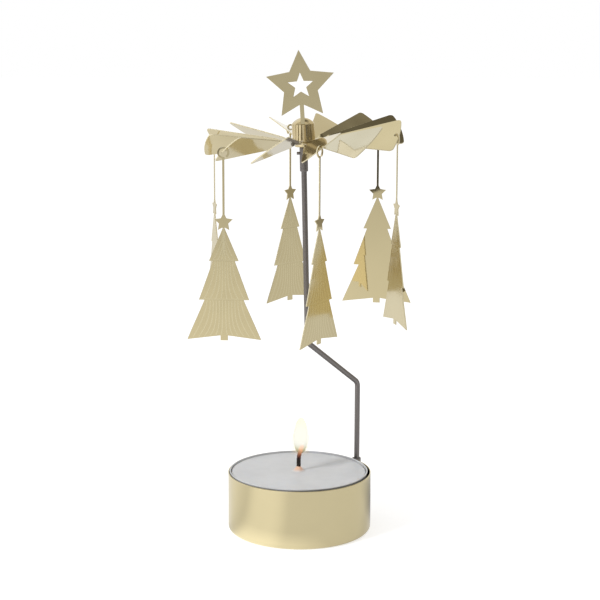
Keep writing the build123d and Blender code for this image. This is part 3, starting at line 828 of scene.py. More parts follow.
def pressed_aluminium(tones):
    """Soft aluminium of the tealight cup."""
    return metal("pressed_aluminium", tones.aluminium, shaded(tones.aluminium, 0.8),
                 rough=(0.3, 0.45), stretch=(1, 1, 0.1), line_scale=1500.0,
                 line_depth=0.004 * MM, mirror=0.45)


def tin_plate(tones):
    """Dull tin plate of the wick sustainer."""
    return metal("tin_plate", tones.tin, shaded(tones.tin, 0.75), rough=(0.3, 0.5),
                 stretch=(1, 1, 1), line_scale=1200.0, line_depth=0.003 * MM)


def paraffin(tones):
    """White wax: light scatters a little under a faintly mottled satin skin, and round the wick its
    colour turns warm with a painted glow of the flame.
    """
    material, graph = new_material("paraffin")
    if graph is None:
        return material
    place = graph.position()
    mottle = graph.noise(place, 420.0, 4.0)
    cloud = graph.noise(place, 70.0, 2.0)
    tone = graph.mix(graph.span(cloud, (0.0, 1.0), (0.35, 0.65)), opaque(tones.wax),
                     opaque(shaded(tones.wax, 0.94)))
    # Painted light: where the groove mark is set, round the wick, the wax takes a painted warm glow
    # of the flame.
    tone = graph.mix(graph.attribute("groove"), tone, opaque(tones.painted_flame_glow))
    gloss = graph.span(mottle, (0.34, 0.5), (0.35, 0.65))
    grain = graph.add("ShaderNodeBump", {"Height": mottle, "Distance": 0.008 * MM, "Strength": 1.0})
    shader = graph.add("ShaderNodeBsdfPrincipled", {
        "Base Color": tone, "Roughness": gloss, "Normal": grain.outputs[0], "IOR": 1.43,
        "Subsurface Weight": 0.35, "Subsurface Radius": (1.0, 0.85, 0.7),
        "Subsurface Scale": 1.2 * MM,
    })
    close_material(graph, shader)
    return material


def cotton_wick(tones):
    """Braided wick, charred black below and glowing at its end."""
    material, graph = new_material("cotton_wick")
    if graph is None:
        return material
    fibres = graph.noise(graph.position((1, 1, 0.3)), 5200.0, 4.0)
    heat = graph.attribute("groove")
    base = graph.mix(graph.span(fibres, (0.0, 1.0), (0.4, 0.7)), opaque(tones.char),
                     opaque(shaded(tones.char, 6)))
    flicker = graph.noise(graph.position(), 1400.0, 3.0)
    glow = graph.math("MULTIPLY", heat, graph.span(flicker, (0.5, 1.2), (0.3, 0.7)))
    coal = graph.mix(heat, (0.35, 0.03, 0.004, 1.0), opaque(tones.ember))
    relief = graph.add("ShaderNodeBump", {"Height": fibres, "Distance": 0.03 * MM, "Strength": 1.0})
    shader = graph.add("ShaderNodeBsdfPrincipled", {
        "Base Color": base, "Roughness": 0.85, "Normal": relief.outputs[0],
        "Emission Color": coal, "Emission Strength": glow,
    })
    close_material(graph, shader)
    return material


def flame_glow():
    """Glowing gas: each shell lets some light through, more towards its foot, and its colour runs
    from peach at the foot through pale yellow to white."""
    material, graph = new_material("flame_glow")
    if graph is None:
        return material
    veil = graph.attribute("edge")
    heat = graph.attribute("groove")
    ramp = graph.add("ShaderNodeValToRGB", {"Fac": heat})
    elements = ramp.color_ramp.elements
    elements[0].position, elements[0].color = FLAME_TONES[0]
    elements[1].position, elements[1].color = FLAME_TONES[-1]
    for position, tone in FLAME_TONES[1:-1]:
        elements.new(position).color = tone
    light = graph.add("ShaderNodeEmission", {"Color": ramp.outputs["Color"], "Strength": 1.05})
    clear = graph.add("ShaderNodeBsdfTransparent", {"Color": (1, 1, 1, 1)})
    both = graph.add("ShaderNodeMixShader", {0: veil, 1: clear.outputs[0], 2: light.outputs[0]})
    close_material(graph, both)
    return material


def cup_pieces(sizes, tones):
    """Drawn cup: a closed profile turned about the axis, its wall wandering inwards a little."""
    skin = Skin()
    outer, inner = sizes.radius, sizes.radius - sizes.sheet
    turn, rim, top = sizes.bottom_round, sizes.rim_round, sizes.height
    profile = np.vstack([
        run((0, 0), (outer - turn, 0), 12),
        arc((outer - turn, turn), turn, -90, 0, 12)[1:],
        run((outer, turn), (outer, top - rim), 24)[1:],
        arc((outer - rim, top - rim), rim, 0, 90, 5)[1:],
        arc((inner + rim, top - rim), rim, 90, 180, 5),
        run((inner, top - rim), (inner, turn), 16)[1:],
        arc((outer - turn, turn), turn - sizes.sheet, 0, -90, 8)[1:],
        run((outer - turn, sizes.sheet), (0, sizes.sheet), 10)[1:],
    ])

    def wander(radius, height, angles):
        """Radius less a share of three slow waves round the wall, none at the floor."""
        waves = 3 + np.sin(3 * angles + 0.4) + np.sin(7 * angles + 2.1) + np.sin(19 * angles + 4)
        rise = ease(height / top) * (radius > outer / 2)
        return radius - sizes.unevenness * waves / 6 * rise, height

    turned(skin, profile, np.zeros(3), turns=192, shape=wander)
    make_piece("drawn_cup", skin, "base", drawn_brass(tones), ["base_cup"])


def socket_pieces(sizes, tones):
    """Socket: a tube with a floor, turned about its own axis, and a flat web to the cup's wall."""
    skin = Skin()
    out = np.array([math.cos(sizes.socket_azimuth), math.sin(sizes.socket_azimuth), 0])
    foot = out * sizes.socket_distance + UP * sizes.socket_foot
    radius, bore, top = sizes.socket_radius, sizes.socket_bore, sizes.socket_height
    edge, bevel = SOCKET_ROUND, WEB_ROUND
    profile = np.vstack([
        run((0, 0), (radius - edge, 0), 4),
        arc((radius - edge, edge), edge, -90, 0, 4)[1:],
        arc((radius - edge, top - edge), edge, 0, 90, 4),
        arc((bore + edge, top - edge), edge, 90, 180, 4),
        run((bore, top - edge), (bore, sizes.socket_floor), 4)[1:],
        (0, sizes.socket_floor),
    ])
    turned(skin, profile, foot, turns=48)
    reach = sizes.socket_distance - sizes.radius
    side = np.cross(UP, out)
    web = rectangle(bore + 2 * bevel, reach + sizes.sheet / 2, bevel, top - bevel)

    def place(x, y, height):
        """From the socket's foot, inwards by x, up by y and sideways by the height."""
        return foot - x[..., None] * out + y[..., None] * UP + height[..., None] * side

    panel(skin, web, place, sizes.web_width / 2, bevel)
    make_piece("socket", skin, "base", dark_steel(tones), ["rod_socket"])


def tealight_pieces(sizes, tones):
    """Pressed aluminium cup with a rolled lip, and press marks that run down its wall."""
    skin = Skin()
    wall, lip = sizes.radius - sizes.lip, sizes.lip
    inner, turn, top = wall - sizes.sheet, sizes.bottom_round, sizes.height
    roll = (sizes.lip + sizes.sheet) / 2
    profile = np.vstack([
        run((0, 0), (wall - turn, 0), 10),
        arc((wall - turn, turn), turn, -90, 0, 9)[1:],
        run((wall, turn), (wall, top - 2 * roll - lip), 16)[1:],
        arc((sizes.radius - roll, top - roll), roll, -50, 180, 15),
        run((inner, top - roll), (inner, turn), 16)[1:],
        arc((wall - turn, turn), turn - sizes.sheet, 0, -90, 7)[1:],
        run((wall - turn, sizes.sheet), (0, sizes.sheet), 8)[1:],
    ])

    def press(radius, height, angles):
        """Radius less a row of narrow flutes that fade out under the lip and at the floor."""
        marks = (0.5 + 0.5 * np.cos(sizes.ripple_count * angles + 2 * np.sin(3 * angles))) ** 3
        uneven = 0.6 + 0.4 * np.sin(5 * angles + 1.3)
        band = ease((height - turn) / turn) * ease((top - height) / (4 * roll))
        return radius - sizes.ripple * marks * uneven * band * (radius > wall / 2), height

    turned(skin, profile, TEALIGHT_FOOT, turns=288, shape=press)
    make_piece("aluminium_cup", skin, "tealight", pressed_aluminium(tones),
               ["tealight_cup"])


def wax_pieces(sizes, tones):
    """Wax: a turned profile whose top rises in a parabola to the wick, with shallow hollows, and a
    painted glow of the flame on the wax round the wick.
    """
    skin = Skin()
    wall = sizes.radius - sizes.lip - sizes.sheet
    radius, top = wall - sizes.wax_gap, sizes.height - sizes.wax_below_rim
    low, turn, edge = sizes.sheet, sizes.bottom_round - sizes.sheet, sizes.wax_edge_round
    wick, mound = sizes.wick_radius * 0.6, sizes.mound_radius
    climb = np.linspace(mound, wick, 16)
    rise = sizes.mound_height * ((mound - climb) / (mound - wick)) ** 2
    profile = np.vstack([
        run((0, low), (radius - turn, low), 8),
        arc((radius - turn, low + turn), turn, -90, 0, 7)[1:],
        run((radius, low + turn), (radius, top - edge), 6)[1:],
        arc((radius - edge, top - edge), edge, 0, 90, 8)[1:],
        run((radius - edge, top), (mound, top), 60)[1:],
        np.column_stack([climb, top + rise])[1:],
        (0, top + sizes.mound_height),
    ])

    def settle(radii, height, angles):
        """Height less a few slow waves across the top, deepest halfway out."""
        x, y = radii * np.cos(angles), radii * np.sin(angles)
        waves = (np.sin(WAX_WAVES[0] * x + 1.1) * np.sin(WAX_WAVES[1] * y + 0.3)
                 + 0.6 * np.sin(410 * x - 340 * y))
        band = ease((radii - mound) / mound) * ease((radius - radii) / (2 * mound))
        upper = height > top - edge / 8
        return radii, height - sizes.wax_unevenness * (0.5 + 0.3 * waves) * band * upper

    # Painted glow: how far the wax round the wick takes the flame's warm light painted into its
    # colour, carried in the groove mark.
    near = ease(1.2 - (profile[:, 0] - wick) / (0.62 * mound)) * (profile[:, 1] > top)
    turned(skin, profile, TEALIGHT_FOOT, turns=160, shape=settle, groove=near[:, None])
    make_piece("paraffin_fill", skin, "tealight", paraffin(tones), ["wax"],
               crease=80)


def wick_pieces(sizes, tones):
    """Wick: a braided round section carried up a straight run and along an arc to the right."""
    skin = Skin()
    top = sizes.height - sizes.wax_below_rim + sizes.wick_straight
    foot = sizes.sheet * 3
    straight = np.linspace(foot, top, 90)
    bend = np.linspace(0, sizes.wick_bend_angle, 26)[1:]
    reach = sizes.wick_bend_radius
    x = np.concatenate([0 * straight, reach * (1 - np.cos(bend))])
    z = np.concatenate([straight, top + reach * np.sin(bend)])
    path = TEALIGHT_FOOT + np.column_stack([x, 0 * x, z])
    length = np.concatenate([[0], np.cumsum(np.linalg.norm(np.diff(path, axis=0), axis=1))])
    left = length[-1] - length
    round_end = np.sqrt(np.clip(1 - (1 - np.clip(left / sizes.wick_radius, 0, 1)) ** 2, 0, 1))
    radii = sizes.wick_radius * round_end * (length > 0)
    twist = WHOLE_TURN * length[:, None] / sizes.strand_pitch

    def braid(angles):
        """Furrows where three strands wind one way and three the other."""
        furrow = np.abs(np.sin(1.5 * angles + twist)) * np.abs(np.sin(1.5 * angles - twist))
        return sizes.strand_depth * (1 - furrow) * round_end[:, None]

    above = (z - (top - sizes.wick_straight)) / (z[-1] - (top - sizes.wick_straight))
    heat = ease((above - 0.42) / 0.5)
    carried(skin, path, radii, turns=36, braid=braid, groove=heat[:, None])
    make_piece("braided_wick", skin, "tealight", cotton_wick(tones), ["wick"],
               crease=80)


def flame_pieces(sizes):
    """Flame: teardrop shells inside each other. A shell's radius is the share of its height to one
    power times the share that is left to another, scaled to its widest. The veil says how dense a
    shell is and the heat how white, both by the share of the whole flame's height."""
    skin = Skin()
    tip_power = FOOT_POWER * (1 - sizes.widest_share) / sizes.widest_share
    widest = sizes.widest_share ** FOOT_POWER * (1 - sizes.widest_share) ** tip_power
    rise = np.linspace(0, 1, FLAME_ROWS) ** 1.3
    angles = np.linspace(0, WHOLE_TURN, FLAME_COLUMNS, endpoint=False)
    for shell in range(FLAME_SHELLS):
        inner = shell / (FLAME_SHELLS - 1)
        low = sizes.foot + (sizes.tip - sizes.foot) * CORE_FOOT * inner
        high = sizes.tip - (sizes.tip - sizes.foot) * CORE_TIP * inner
        reach = sizes.half_width * (1 - CORE_NARROWING * inner)
        radius = reach * rise ** FOOT_POWER * (1 - rise) ** tip_power / widest
        height = low + (high - low) * rise
        whole = (height - sizes.foot) / (sizes.tip - sizes.foot)
        centre = sizes.centre_x + sizes.lean * whole ** 2
        x = centre[:, None] + radius[:, None] * np.cos(angles)
        y = TEALIGHT_FOOT[1] + radius[:, None] * np.sin(angles)
        z = np.repeat(height[:, None], FLAME_COLUMNS, axis=1)
        body = ease((whole - 0.22) / 0.38)
        veil = (0.15 + 0.3 * inner ** 1.4) * body + 0.14 * ease((whole - 0.74) / 0.2)
        heat = ease((whole - 0.2) / 0.3) * (0.62 + 0.38 * min(1, 2.2 * inner))
        skin.add(np.stack([x, y, z], axis=-1), ring=True, edge=veil[:, None],
                 groove=heat[:, None])
    make_piece("flame", skin, "tealight", flame_glow(), crease=120)


def needle_line(sizes, cup):
    """Rod's foot, the corner of its upper bend, and the needle's direction."""
    out = np.array([math.cos(cup.socket_azimuth), math.sin(cup.socket_azimuth), 0])
    foot = out * cup.socket_distance
    level = (TIP - foot) * [1, 1, 0]
    inward = unit(level)
    reach = np.linalg.norm(level) - sizes.upper_run
    upper = foot + inward * reach + UP * sizes.upper_bend
    return foot, upper, unit(TIP - upper)


def rod_pieces(sizes, cup, tones):
    """Rod: a round section carried along straight runs and two tangent bends."""
    skin = Skin()
    foot, upper, needle = needle_line(sizes, cup)
    start = foot + UP * (cup.socket_foot + sizes.foot_above_socket)
    corner_points = np.array([
        start, foot + UP * sizes.lower_bend, upper, TIP - needle * sizes.end_below_tip,
    ])
    path = bent_path(corner_points, sizes.bend_radius, 0.9 * MM)
    swell = np.radians(np.linspace(0, 90, 6))[:, None]
    nose = path[0] + UP * sizes.end_round * (1 - np.cos(swell))
    path = np.vstack([nose, path[1:], path[-1:] + needle * 0.01 * MM])
    radii = np.full(len(path), sizes.radius)
    radii[:6] = sizes.radius - sizes.end_round * (1 - np.sin(swell[:, 0]))
    radii[0] = 0
    radii[-1] = 0
    carried(skin, path, radii, turns=40)
    make_piece("bent_rod", skin, "rod", dark_steel(tones), ["support_rod"])


def sleeve_pieces(sizes, cup, tones):
    """Sleeve: a rounded tube turned about the needle, with a small round nub on its left side."""
    skin = Skin()
    needle = needle_line(sizes, cup)[2]
    foot = TIP - needle * (sizes.sleeve_top + sizes.sleeve_length)
    radius, top, edge, hole = (sizes.sleeve_radius, sizes.sleeve_length, sizes.sleeve_round,
                               sizes.needle_hole)
    profile = np.vstack([
        (0, edge),
        run((sizes.radius, edge), (sizes.radius, 0)),
        run((sizes.radius, 0), (radius - edge, 0))[1:],
        arc((radius - edge, edge), edge, -90, 0, 5)[1:],
        run((radius, edge), (radius, top - edge), 12)[1:],
        arc((radius - edge, top - edge), edge, 0, 90, 5)[1:],
        run((radius - edge, top), (hole, top))[1:],
        (hole, top - 2 * edge),
        (0, top - 2 * edge),
    ])
    turned(skin, profile, foot, needle, turns=56)
    side = np.array([-1.0, 0.0, 0.0])
    nub = TIP - needle * (sizes.sleeve_top + sizes.nub_below_top)
    reach, small, soft = radius + sizes.nub_reach, sizes.nub_radius, edge / 2
    nub_profile = np.vstack([
        (0, radius / 2),
        run((small, radius / 2), (small, reach - soft), 5),
        arc((small - soft, reach - soft), soft, 0, 90, 5)[1:],
        (0, reach),
    ])
    turned(skin, nub_profile, nub, side, turns=28)
    make_piece("sleeve", skin, "rod", dark_steel(tones), ["needle_sleeve"])


def rotor_axes(sizes):
    """Middle of the rotor's sheet, its two directions in the sheet and its normal."""
    left, front = math.tan(sizes.lean_left), math.tan(sizes.lean_front)
    normal = unit(np.array([-left, -front, 1.0]))
    across = unit(np.array([1.0, 0.0, left]))
    return TIP - normal * sizes.pivot_height, across, np.cross(normal, across), normal


def blade_edge_angle(sizes, distance, inset):
    """Half the angle that a blade spans at a distance from the axis: its neck, then the straight
    side, then the round corner, each moved in by the inset."""
    tip_x = sizes.tip_radius * math.cos(sizes.tip_half_angle)
    tip_y = sizes.tip_radius * math.sin(sizes.tip_half_angle)
    slope = (tip_y - sizes.root_width / 2) / (tip_x - sizes.blade_start)
    lean = math.atan(slope)

    def offset_line(moved):
        """Where the side, moved in, would cross the blade's middle plane."""
        return sizes.root_width / 2 - slope * sizes.blade_start - moved / math.cos(lean)

    side = lean + np.arcsin(offset_line(inset) * math.cos(lean) / distance)
    centre_reach = sizes.tip_radius - sizes.corner_round
    centre = lean + math.asin(offset_line(sizes.corner_round) * math.cos(lean) / centre_reach)
    radius = sizes.corner_round - inset
    cosine = (distance**2 + centre_reach**2 - radius**2) / (2 * distance * centre_reach)
    corner = centre + np.arccos(np.clip(cosine, -1, 1))
    foot_x = centre_reach * math.cos(centre - lean)
    line_y = offset_line(inset) * math.cos(lean)
    touch = math.hypot(foot_x, line_y)
    twist = ease((distance - sizes.hub_radius) / (sizes.blade_start - sizes.hub_radius))
    width = sizes.neck_width / 2 + (sizes.root_width - sizes.neck_width) / 2 * twist - inset
    neck = np.arcsin(width / distance)
    whole = np.where(distance < sizes.blade_start, neck, side)
    return np.where(distance > touch, corner, whole), touch


def blade_grids(sizes, holed):
    """Flat grids of a blade's two halves, the outline round both, and the hole's outline."""
    bevel = sizes.edge_round
    end = sizes.tip_radius - bevel
    touch = blade_edge_angle(sizes, np.array([end]), bevel)[1]
    bore = sizes.hole_radius + bevel
    rows = [
        np.linspace(sizes.hub_radius - sizes.neck_overlap, sizes.blade_start, 20),
        np.linspace(sizes.blade_start, touch, 46),
        touch + (end - touch) * np.sin(np.radians(np.linspace(0, 90, 10))),
    ]
    if holed:
        rows.append(sizes.hole_distance - bore * np.cos(np.radians(np.linspace(0, 180, 17))))
    distance = np.unique(np.round(np.concatenate(rows) / ROW_STEP).astype(int)) * ROW_STEP
    edge = blade_edge_angle(sizes, distance, bevel)[0]
    opening = 0 * distance
    if holed:
        middle = sizes.hole_distance
        cosine = (distance**2 + middle**2 - bore**2) / (2 * distance * middle)
        inside = np.abs(distance - middle) < bore
        opening = np.where(inside, np.arccos(np.clip(cosine, -1, 1)), 0)
    part = np.linspace(0, 1, BLADE_COLUMNS)[None, :]
    turn = opening[:, None] * (1 - part) + edge[:, None] * part
    reach = np.repeat(distance[:, None], BLADE_COLUMNS, axis=1)
    upper = np.stack([reach * np.cos(turn), reach * np.sin(turn)], axis=-1)
    lower = upper * [1, -1]
    outline = np.vstack([upper[:, -1], upper[-1, -2::-1], lower[-1, 1:], lower[-2::-1, -1],
                         lower[0, -2::-1], upper[0, 1:-1]])
    hole = None
    if holed:
        rim = upper[opening > 0, 0]
        hole = np.vstack([(middle - bore, 0), rim, (middle + bore, 0), rim[::-1] * [1, -1]])
    return upper, lower, outline, hole


def rotor_pieces(sizes, tones):
    """Rotor: a flat twelve-sided hub and blades that bend up at its edge, and whose necks twist
    to the full pitch. A blade's point is the hub's middle, plus x outwards, plus y across."""
    skin = Skin()
    middle, across, along, normal = rotor_axes(sizes)
    half, bevel = sizes.sheet / 2, sizes.edge_round
    turns = np.linspace(0, WHOLE_TURN, sizes.blades * 8, endpoint=False) + sizes.first_blade
    step = WHOLE_TURN / sizes.blades
    side = (turns - sizes.first_blade + step / 2) % step - step / 2
    flat_radius = (sizes.hub_radius - bevel) / np.cos(side)
    spoke = np.column_stack([np.cos(turns), np.sin(turns)])
    hub = between((sizes.hub_hole + bevel) * spoke, flat_radius[:, None] * spoke, 7)

    def place_hub(x, y, height):
        """In the sheet's plane, and up its normal by the height."""
        return (middle + x[..., None] * across + y[..., None] * along
                + height[..., None] * normal)

    sheet_faces(skin, hub, place_hub, half, ring=True)
    sheet_rim(skin, hub[0], place_hub, half, bevel, hole=True)
    sheet_rim(skin, hub[-1], place_hub, half, bevel)
    for number in range(sizes.blades):
        azimuth = sizes.first_blade + number * step
        out = across * math.cos(azimuth) + along * math.sin(azimuth)
        tangent = np.cross(normal, out)

        def place(x, y, height):
            """Outwards by x, flat in the hub and rising beyond it, across by y and square to the
            blade by the height, which thins a little in the hub and wanders in slow waves."""
            beyond, overlap = x - sizes.hub_radius, sizes.neck_overlap
            bend = sizes.rise * ease((beyond + overlap) / (2 * overlap))[..., None]
            rising = out * math.cos(sizes.rise) + normal * math.sin(sizes.rise)
            spine = (middle + np.minimum(x, sizes.hub_radius)[..., None] * out
                     + np.maximum(beyond, 0)[..., None] * rising)
            top = normal * np.cos(bend) - out * np.sin(bend)
            pitch = sizes.pitch * ease(beyond / (sizes.blade_start - sizes.hub_radius))
            thin = 1 - 0.03 * (1 - ease(beyond / (sizes.hub_radius / 8)))
            far = ease((x - sizes.blade_start) / (5 * MM)) * ease((24 * MM - x) / (6 * MM))
            bow = (np.sin(BLADE_WAVES[0] * x + 1.9 * number)
                   + 0.7 * np.sin(BLADE_WAVES[1] * y + 2.3 * number))
            lift = (height * thin + sizes.unevenness * far * bow)[..., None]
            wide = tangent * np.cos(pitch)[..., None] + top * np.sin(pitch)[..., None]
            square = top * np.cos(pitch)[..., None] - tangent * np.sin(pitch)[..., None]
            return spine + y[..., None] * wide + lift * square

        upper, lower, outline, hole = blade_grids(sizes, number % 2 == 0)
        sheet_faces(skin, upper, place, half)
        sheet_faces(skin, lower, place, half)
        sheet_rim(skin, outline, place, half, bevel)
        if hole is not None:
            sheet_rim(skin, hole, place, half, bevel, hole=True)
    make_piece("blade_wheel", skin, "rotor", rolled_brass(tones), ["rotor"],
               crease=FOLD)


def hub_pieces(sizes, rotor, star, tones):
    """Cap: a spherical dome over a crease and a straight side, bored from below, slotted in front
    for the star's stem. Collar: a ring with a rounded lower edge."""
    skin, cutter, collar = Skin(), Skin(), Skin()
    middle, across, along, normal = rotor_axes(rotor)
    base, edge = rotor.sheet / 2, sizes.edge_round
    rise = sizes.top - sizes.shoulder
    ball = (sizes.radius**2 + rise**2) / (2 * rise)
    reach = np.linspace(sizes.radius, 0, 40)
    dome = np.column_stack([reach, sizes.top - ball + np.sqrt(ball**2 - reach**2)])
    neck = rotor.hub_hole
    profile = np.vstack([
        run((sizes.bore, sizes.neck_bottom), (neck, sizes.neck_bottom)),
        run((neck, sizes.neck_bottom), (neck, base))[1:],
        run((neck, base), (sizes.rim_radius - edge, base), 4)[1:],
        arc((sizes.rim_radius - edge, base + edge), edge, -90, 0, 5)[1:],
        arc((sizes.rim_radius - edge, base + sizes.rim_height - edge), edge, 0, 90, 5),
        (sizes.radius, base + sizes.rim_height),
        run((sizes.radius, base + sizes.rim_height + edge), (sizes.radius, sizes.shoulder), 14),
        dome[1:],
        (0, sizes.seat_top),
        (sizes.bore, sizes.seat_top),
        (sizes.bore, sizes.neck_bottom),
    ])
    turned(skin, profile, middle, normal, turns=144)
    room = sizes.slot_clearance
    slot = rectangle(-star.stem_width / 2 - room, star.stem_width / 2 + room, sizes.shoulder,
                     sizes.top + rise)
    back, front = star.setback - base - room, sizes.rim_radius + rise

    def place(x, y, height):
        """Sideways by x, up the hub's axis by y and forwards by the height."""
        return (middle + x[..., None] * across + y[..., None] * normal
                - ((back + front) / 2 + height)[..., None] * along)

    panel(cutter, slot, place, (front - back) / 2, 0.0)
    make_piece("domed_cap", skin, "rotor", polished_brass(tones), ["hub_cap"],
               crease=24, cut=cutter)
    turn, low = sizes.collar_round, sizes.neck_bottom
    ring = np.vstack([
        (neck, low),
        run((neck, low), (sizes.collar_radius - turn, low), 3)[1:],
        arc((sizes.collar_radius - turn, low + turn), turn, -90, 0, 9)[1:],
        (sizes.collar_radius, -base),
        (neck, -base),
        (neck, low),
    ])
    turned(collar, ring, middle, normal, turns=112)
    make_piece("collar", collar, "rotor", polished_brass(tones),
               ["hub_collar"])


def star_pieces(sizes, rotor, hub, tones):
    """Star: a grid between the window's outline and the star's, with a stem under it."""
    skin = Skin()
    middle, across, along, normal = rotor_axes(rotor)
    half, bevel = rotor.sheet / 2, rotor.edge_round
    centre = np.array([0, sizes.centre_height])
    window = star_outline(sizes.window_radius, sizes.window_notch_share, -bevel) + centre
    outline = star_outline(sizes.radius, sizes.notch_share, bevel) + centre
    flat = between(window, outline, 9)

    def place(x, y, height):
        """Sideways by x, up the hub's axis by y and forwards by the setback and the height."""
        return (middle + x[..., None] * across + y[..., None] * normal
                - (sizes.setback + height)[..., None] * along)

    sheet_faces(skin, flat, place, half, ring=True)
    sheet_rim(skin, flat[0], place, half, bevel, hole=True)
    sheet_rim(skin, flat[-1], place, half, bevel)
    notch = sizes.centre_height - sizes.radius * sizes.notch_share
    stem = rectangle(bevel - sizes.stem_width / 2, sizes.stem_width / 2 - bevel,
                     hub.shoulder + bevel, notch + sizes.stem_width, rows=12, columns=3)
    panel(skin, stem, place, half - STEP_UNDER, bevel)
    make_piece("star", skin, "rotor", star_brass(tones), ["top_star"], crease=FOLD)


def tier_rows(sizes, bevel):
    """Tiers of a tree as top and bottom height and half width, all moved in by the bevel."""
    side = np.array([
        (sizes.apex_half_width, -sizes.apex_drop),
        (sizes.first_half, -sizes.first_drop),
        (sizes.first_notch, -sizes.first_drop),
        (sizes.second_half, -sizes.second_drop),
        (sizes.second_notch, -sizes.second_drop),
        (sizes.third_half, -sizes.third_drop),
        (sizes.trunk_half, sizes.skirt_rise - sizes.third_drop),
    ])
    whole = np.vstack([side, side[::-1] * [-1, 1]])
    inset = (whole - bevel * outward(whole))[:7]
    return [(inset[0], inset[1]), (inset[2], inset[3]), (inset[4], inset[5])], inset[6]


def tree_grid(sizes, bevel):
    """Flat grid of a tree's three tiers, and how deep its front is engraved at each point. A
    column keeps its share of the half width at a tier's top and bottom; between them inner columns
    hold back, so that they bend outwards in a J. Lines are rounded furrows along columns."""
    columns = np.linspace(-1, 1, TREE_COLUMNS)
    tiers, root = tier_rows(sizes, bevel)
    grids, depths = [], []
    for number, (top, bottom) in enumerate(tiers):
        part = np.linspace(0, 1, TREE_ROWS)
        part = (part - np.sin(WHOLE_TURN * part) / WHOLE_TURN * 0.55)[:, None]
        step = 0.0 if number == 0 else 0.03 * MM
        lines = TREE_LINES[number]
        shares = (np.arange(1, lines + 1) - 0.45) / (lines + 0.35)
        centres = np.concatenate([-shares[::-1], shares])

        def reach(shares_of_width):
            """Sideways places of columns, at every row of this tier."""
            power = 1 + LINE_BEND * (1 - np.abs(shares_of_width))
            return shares_of_width * (top[0] + (bottom[0] - top[0]) * part ** power)

        x = reach(columns[None, :])
        level = top[1] - step + (bottom[1] - top[1] + step) * part + 0 * x
        if number == len(tiers) - 1:
            lift = (root[1] - bottom[1]) * np.clip(
                (bottom[0] - np.abs(x)) / (bottom[0] - root[0]), 0, 1)
            level = level + lift * part**3
        middle = reach(centres[None, :])
        furrow = np.exp(-(((x[..., None] - middle[:, None, :]) / sizes.groove_width) ** 2))
        fade = ease(part / 0.03) * ease((0.985 - part) / 0.03) * ease((1 - np.abs(columns)) / 0.03)
        seam = np.exp(-((1 - part) * TREE_ROWS / 1.1) ** 2)
        seam = seam * (number < len(tiers) - 1) * (np.abs(columns) < 0.97)
        depth = np.clip(furrow.sum(axis=-1) * fade + 0.5 * seam, 0, 1)
        grids.append(np.stack([x, level], axis=-1))
        depths.append(depth)
    return np.vstack(grids), np.vstack(depths)


def tree_pieces(number, sizes, rotor, tones):
    """One hanging tree: hook ring, stem, small star, tiers and trunk in one upright sheet. A point
    is the ring's centre, plus x along the sheet, plus y upwards, plus its height off the sheet."""
    skin = Skin()
    joint = JOINTS[f"tree_{number}_swing"]
    centre, axis = np.array(joint["pos_m"]), unit(np.array(joint["axis"]))
    level = np.cross(UP, axis)
    half, bevel = rotor.sheet / 2, rotor.edge_round
    facing = 1 if number in ENGRAVED_FORWARD else -1

    def place(x, y, height):
        """Along the sheet by x, up by y, and off the sheet on its engraved side by the height."""
        return (centre + x[..., None] * level + y[..., None] * UP
                + height[..., None] * axis * facing)

    flat, depth = tree_grid(sizes, bevel)
    panel(skin, flat, place, half, bevel, sunk=sizes.groove_depth * depth, groove=depth, satin=1.0)
    trunk_top = sizes.third_drop - sizes.skirt_rise
    trunk = rectangle(bevel - sizes.trunk_half, sizes.trunk_half - bevel,
                      bevel - trunk_top - sizes.trunk_length, sizes.trunk_half / 5 - trunk_top,
                      6, 3)
    panel(skin, trunk, place, half - STEP_UNDER, bevel)
    point = np.array([0, -sizes.star_drop])
    outline = star_outline(sizes.star_radius, sizes.star_notch_share, bevel, 4) + point
    small_star = between(outline * 0 + point, outline, 6)
    sheet_faces(skin, small_star, place, half + STEP_UNDER, ring=True)
    sheet_rim(skin, outline, place, half + STEP_UNDER, bevel)
    stem = rectangle(bevel - sizes.stem_width / 2, sizes.stem_width / 2 - bevel,
                     -sizes.apex_drop - sizes.stem_width,
                     sizes.ring_strip / 2 - sizes.ring_radius, 24, 3)
    panel(skin, stem, place, half - 2 * STEP_UNDER, bevel)
    turns = np.linspace(sizes.gap_end, WHOLE_TURN + sizes.gap_start, 64)[:, None]
    strip = np.linspace(sizes.ring_radius - sizes.ring_strip + bevel,
                        sizes.ring_radius - bevel, 3)[None, :]
    ring = np.stack([-strip * np.sin(turns), -strip * np.cos(turns)], axis=-1)
    panel(skin, ring, place, half, bevel)
    make_piece(f"hanging_tree_{number}", skin, f"tree_{number}", engraved_brass(tones),
               [f"tree_{number}"], crease=FOLD)


def standing(axes, place):
    """World matrix of an object with these axes, given as columns, at this place."""
    return Matrix([[*axes[row], place[row]] for row in range(3)] + [[0, 0, 0, 1]])


def camera_axes(studio):
    """Right, up and backward directions of the camera."""
    tilt, roll = studio.camera_tilt, studio.camera_roll
    ahead = np.array([0.0, math.cos(tilt), -math.sin(tilt)])
    right = np.array([1.0, 0.0, 0.0])
    up = np.cross(right, ahead)
    turned_right = math.cos(roll) * right + math.sin(roll) * up
    turned_up = math.cos(roll) * up - math.sin(roll) * right
    return turned_right, turned_up, -ahead


def make_camera(studio):
    """Camera at the photograph's place, distance and angle."""
    data = bpy.data.cameras.new("camera")
    data.sensor_width = 36.0
    data.lens = studio.focal_pixels * data.sensor_width / studio.picture_width
    data.clip_start, data.clip_end = 0.01, 20.0
    camera = bpy.data.objects.new("camera", data)
    place = np.array([0.0, -studio.camera_distance, studio.camera_height])
    camera.matrix_world = standing(np.column_stack(camera_axes(studio)), place)
    bpy.context.scene.collection.objects.link(camera)
    bpy.context.scene.camera = camera


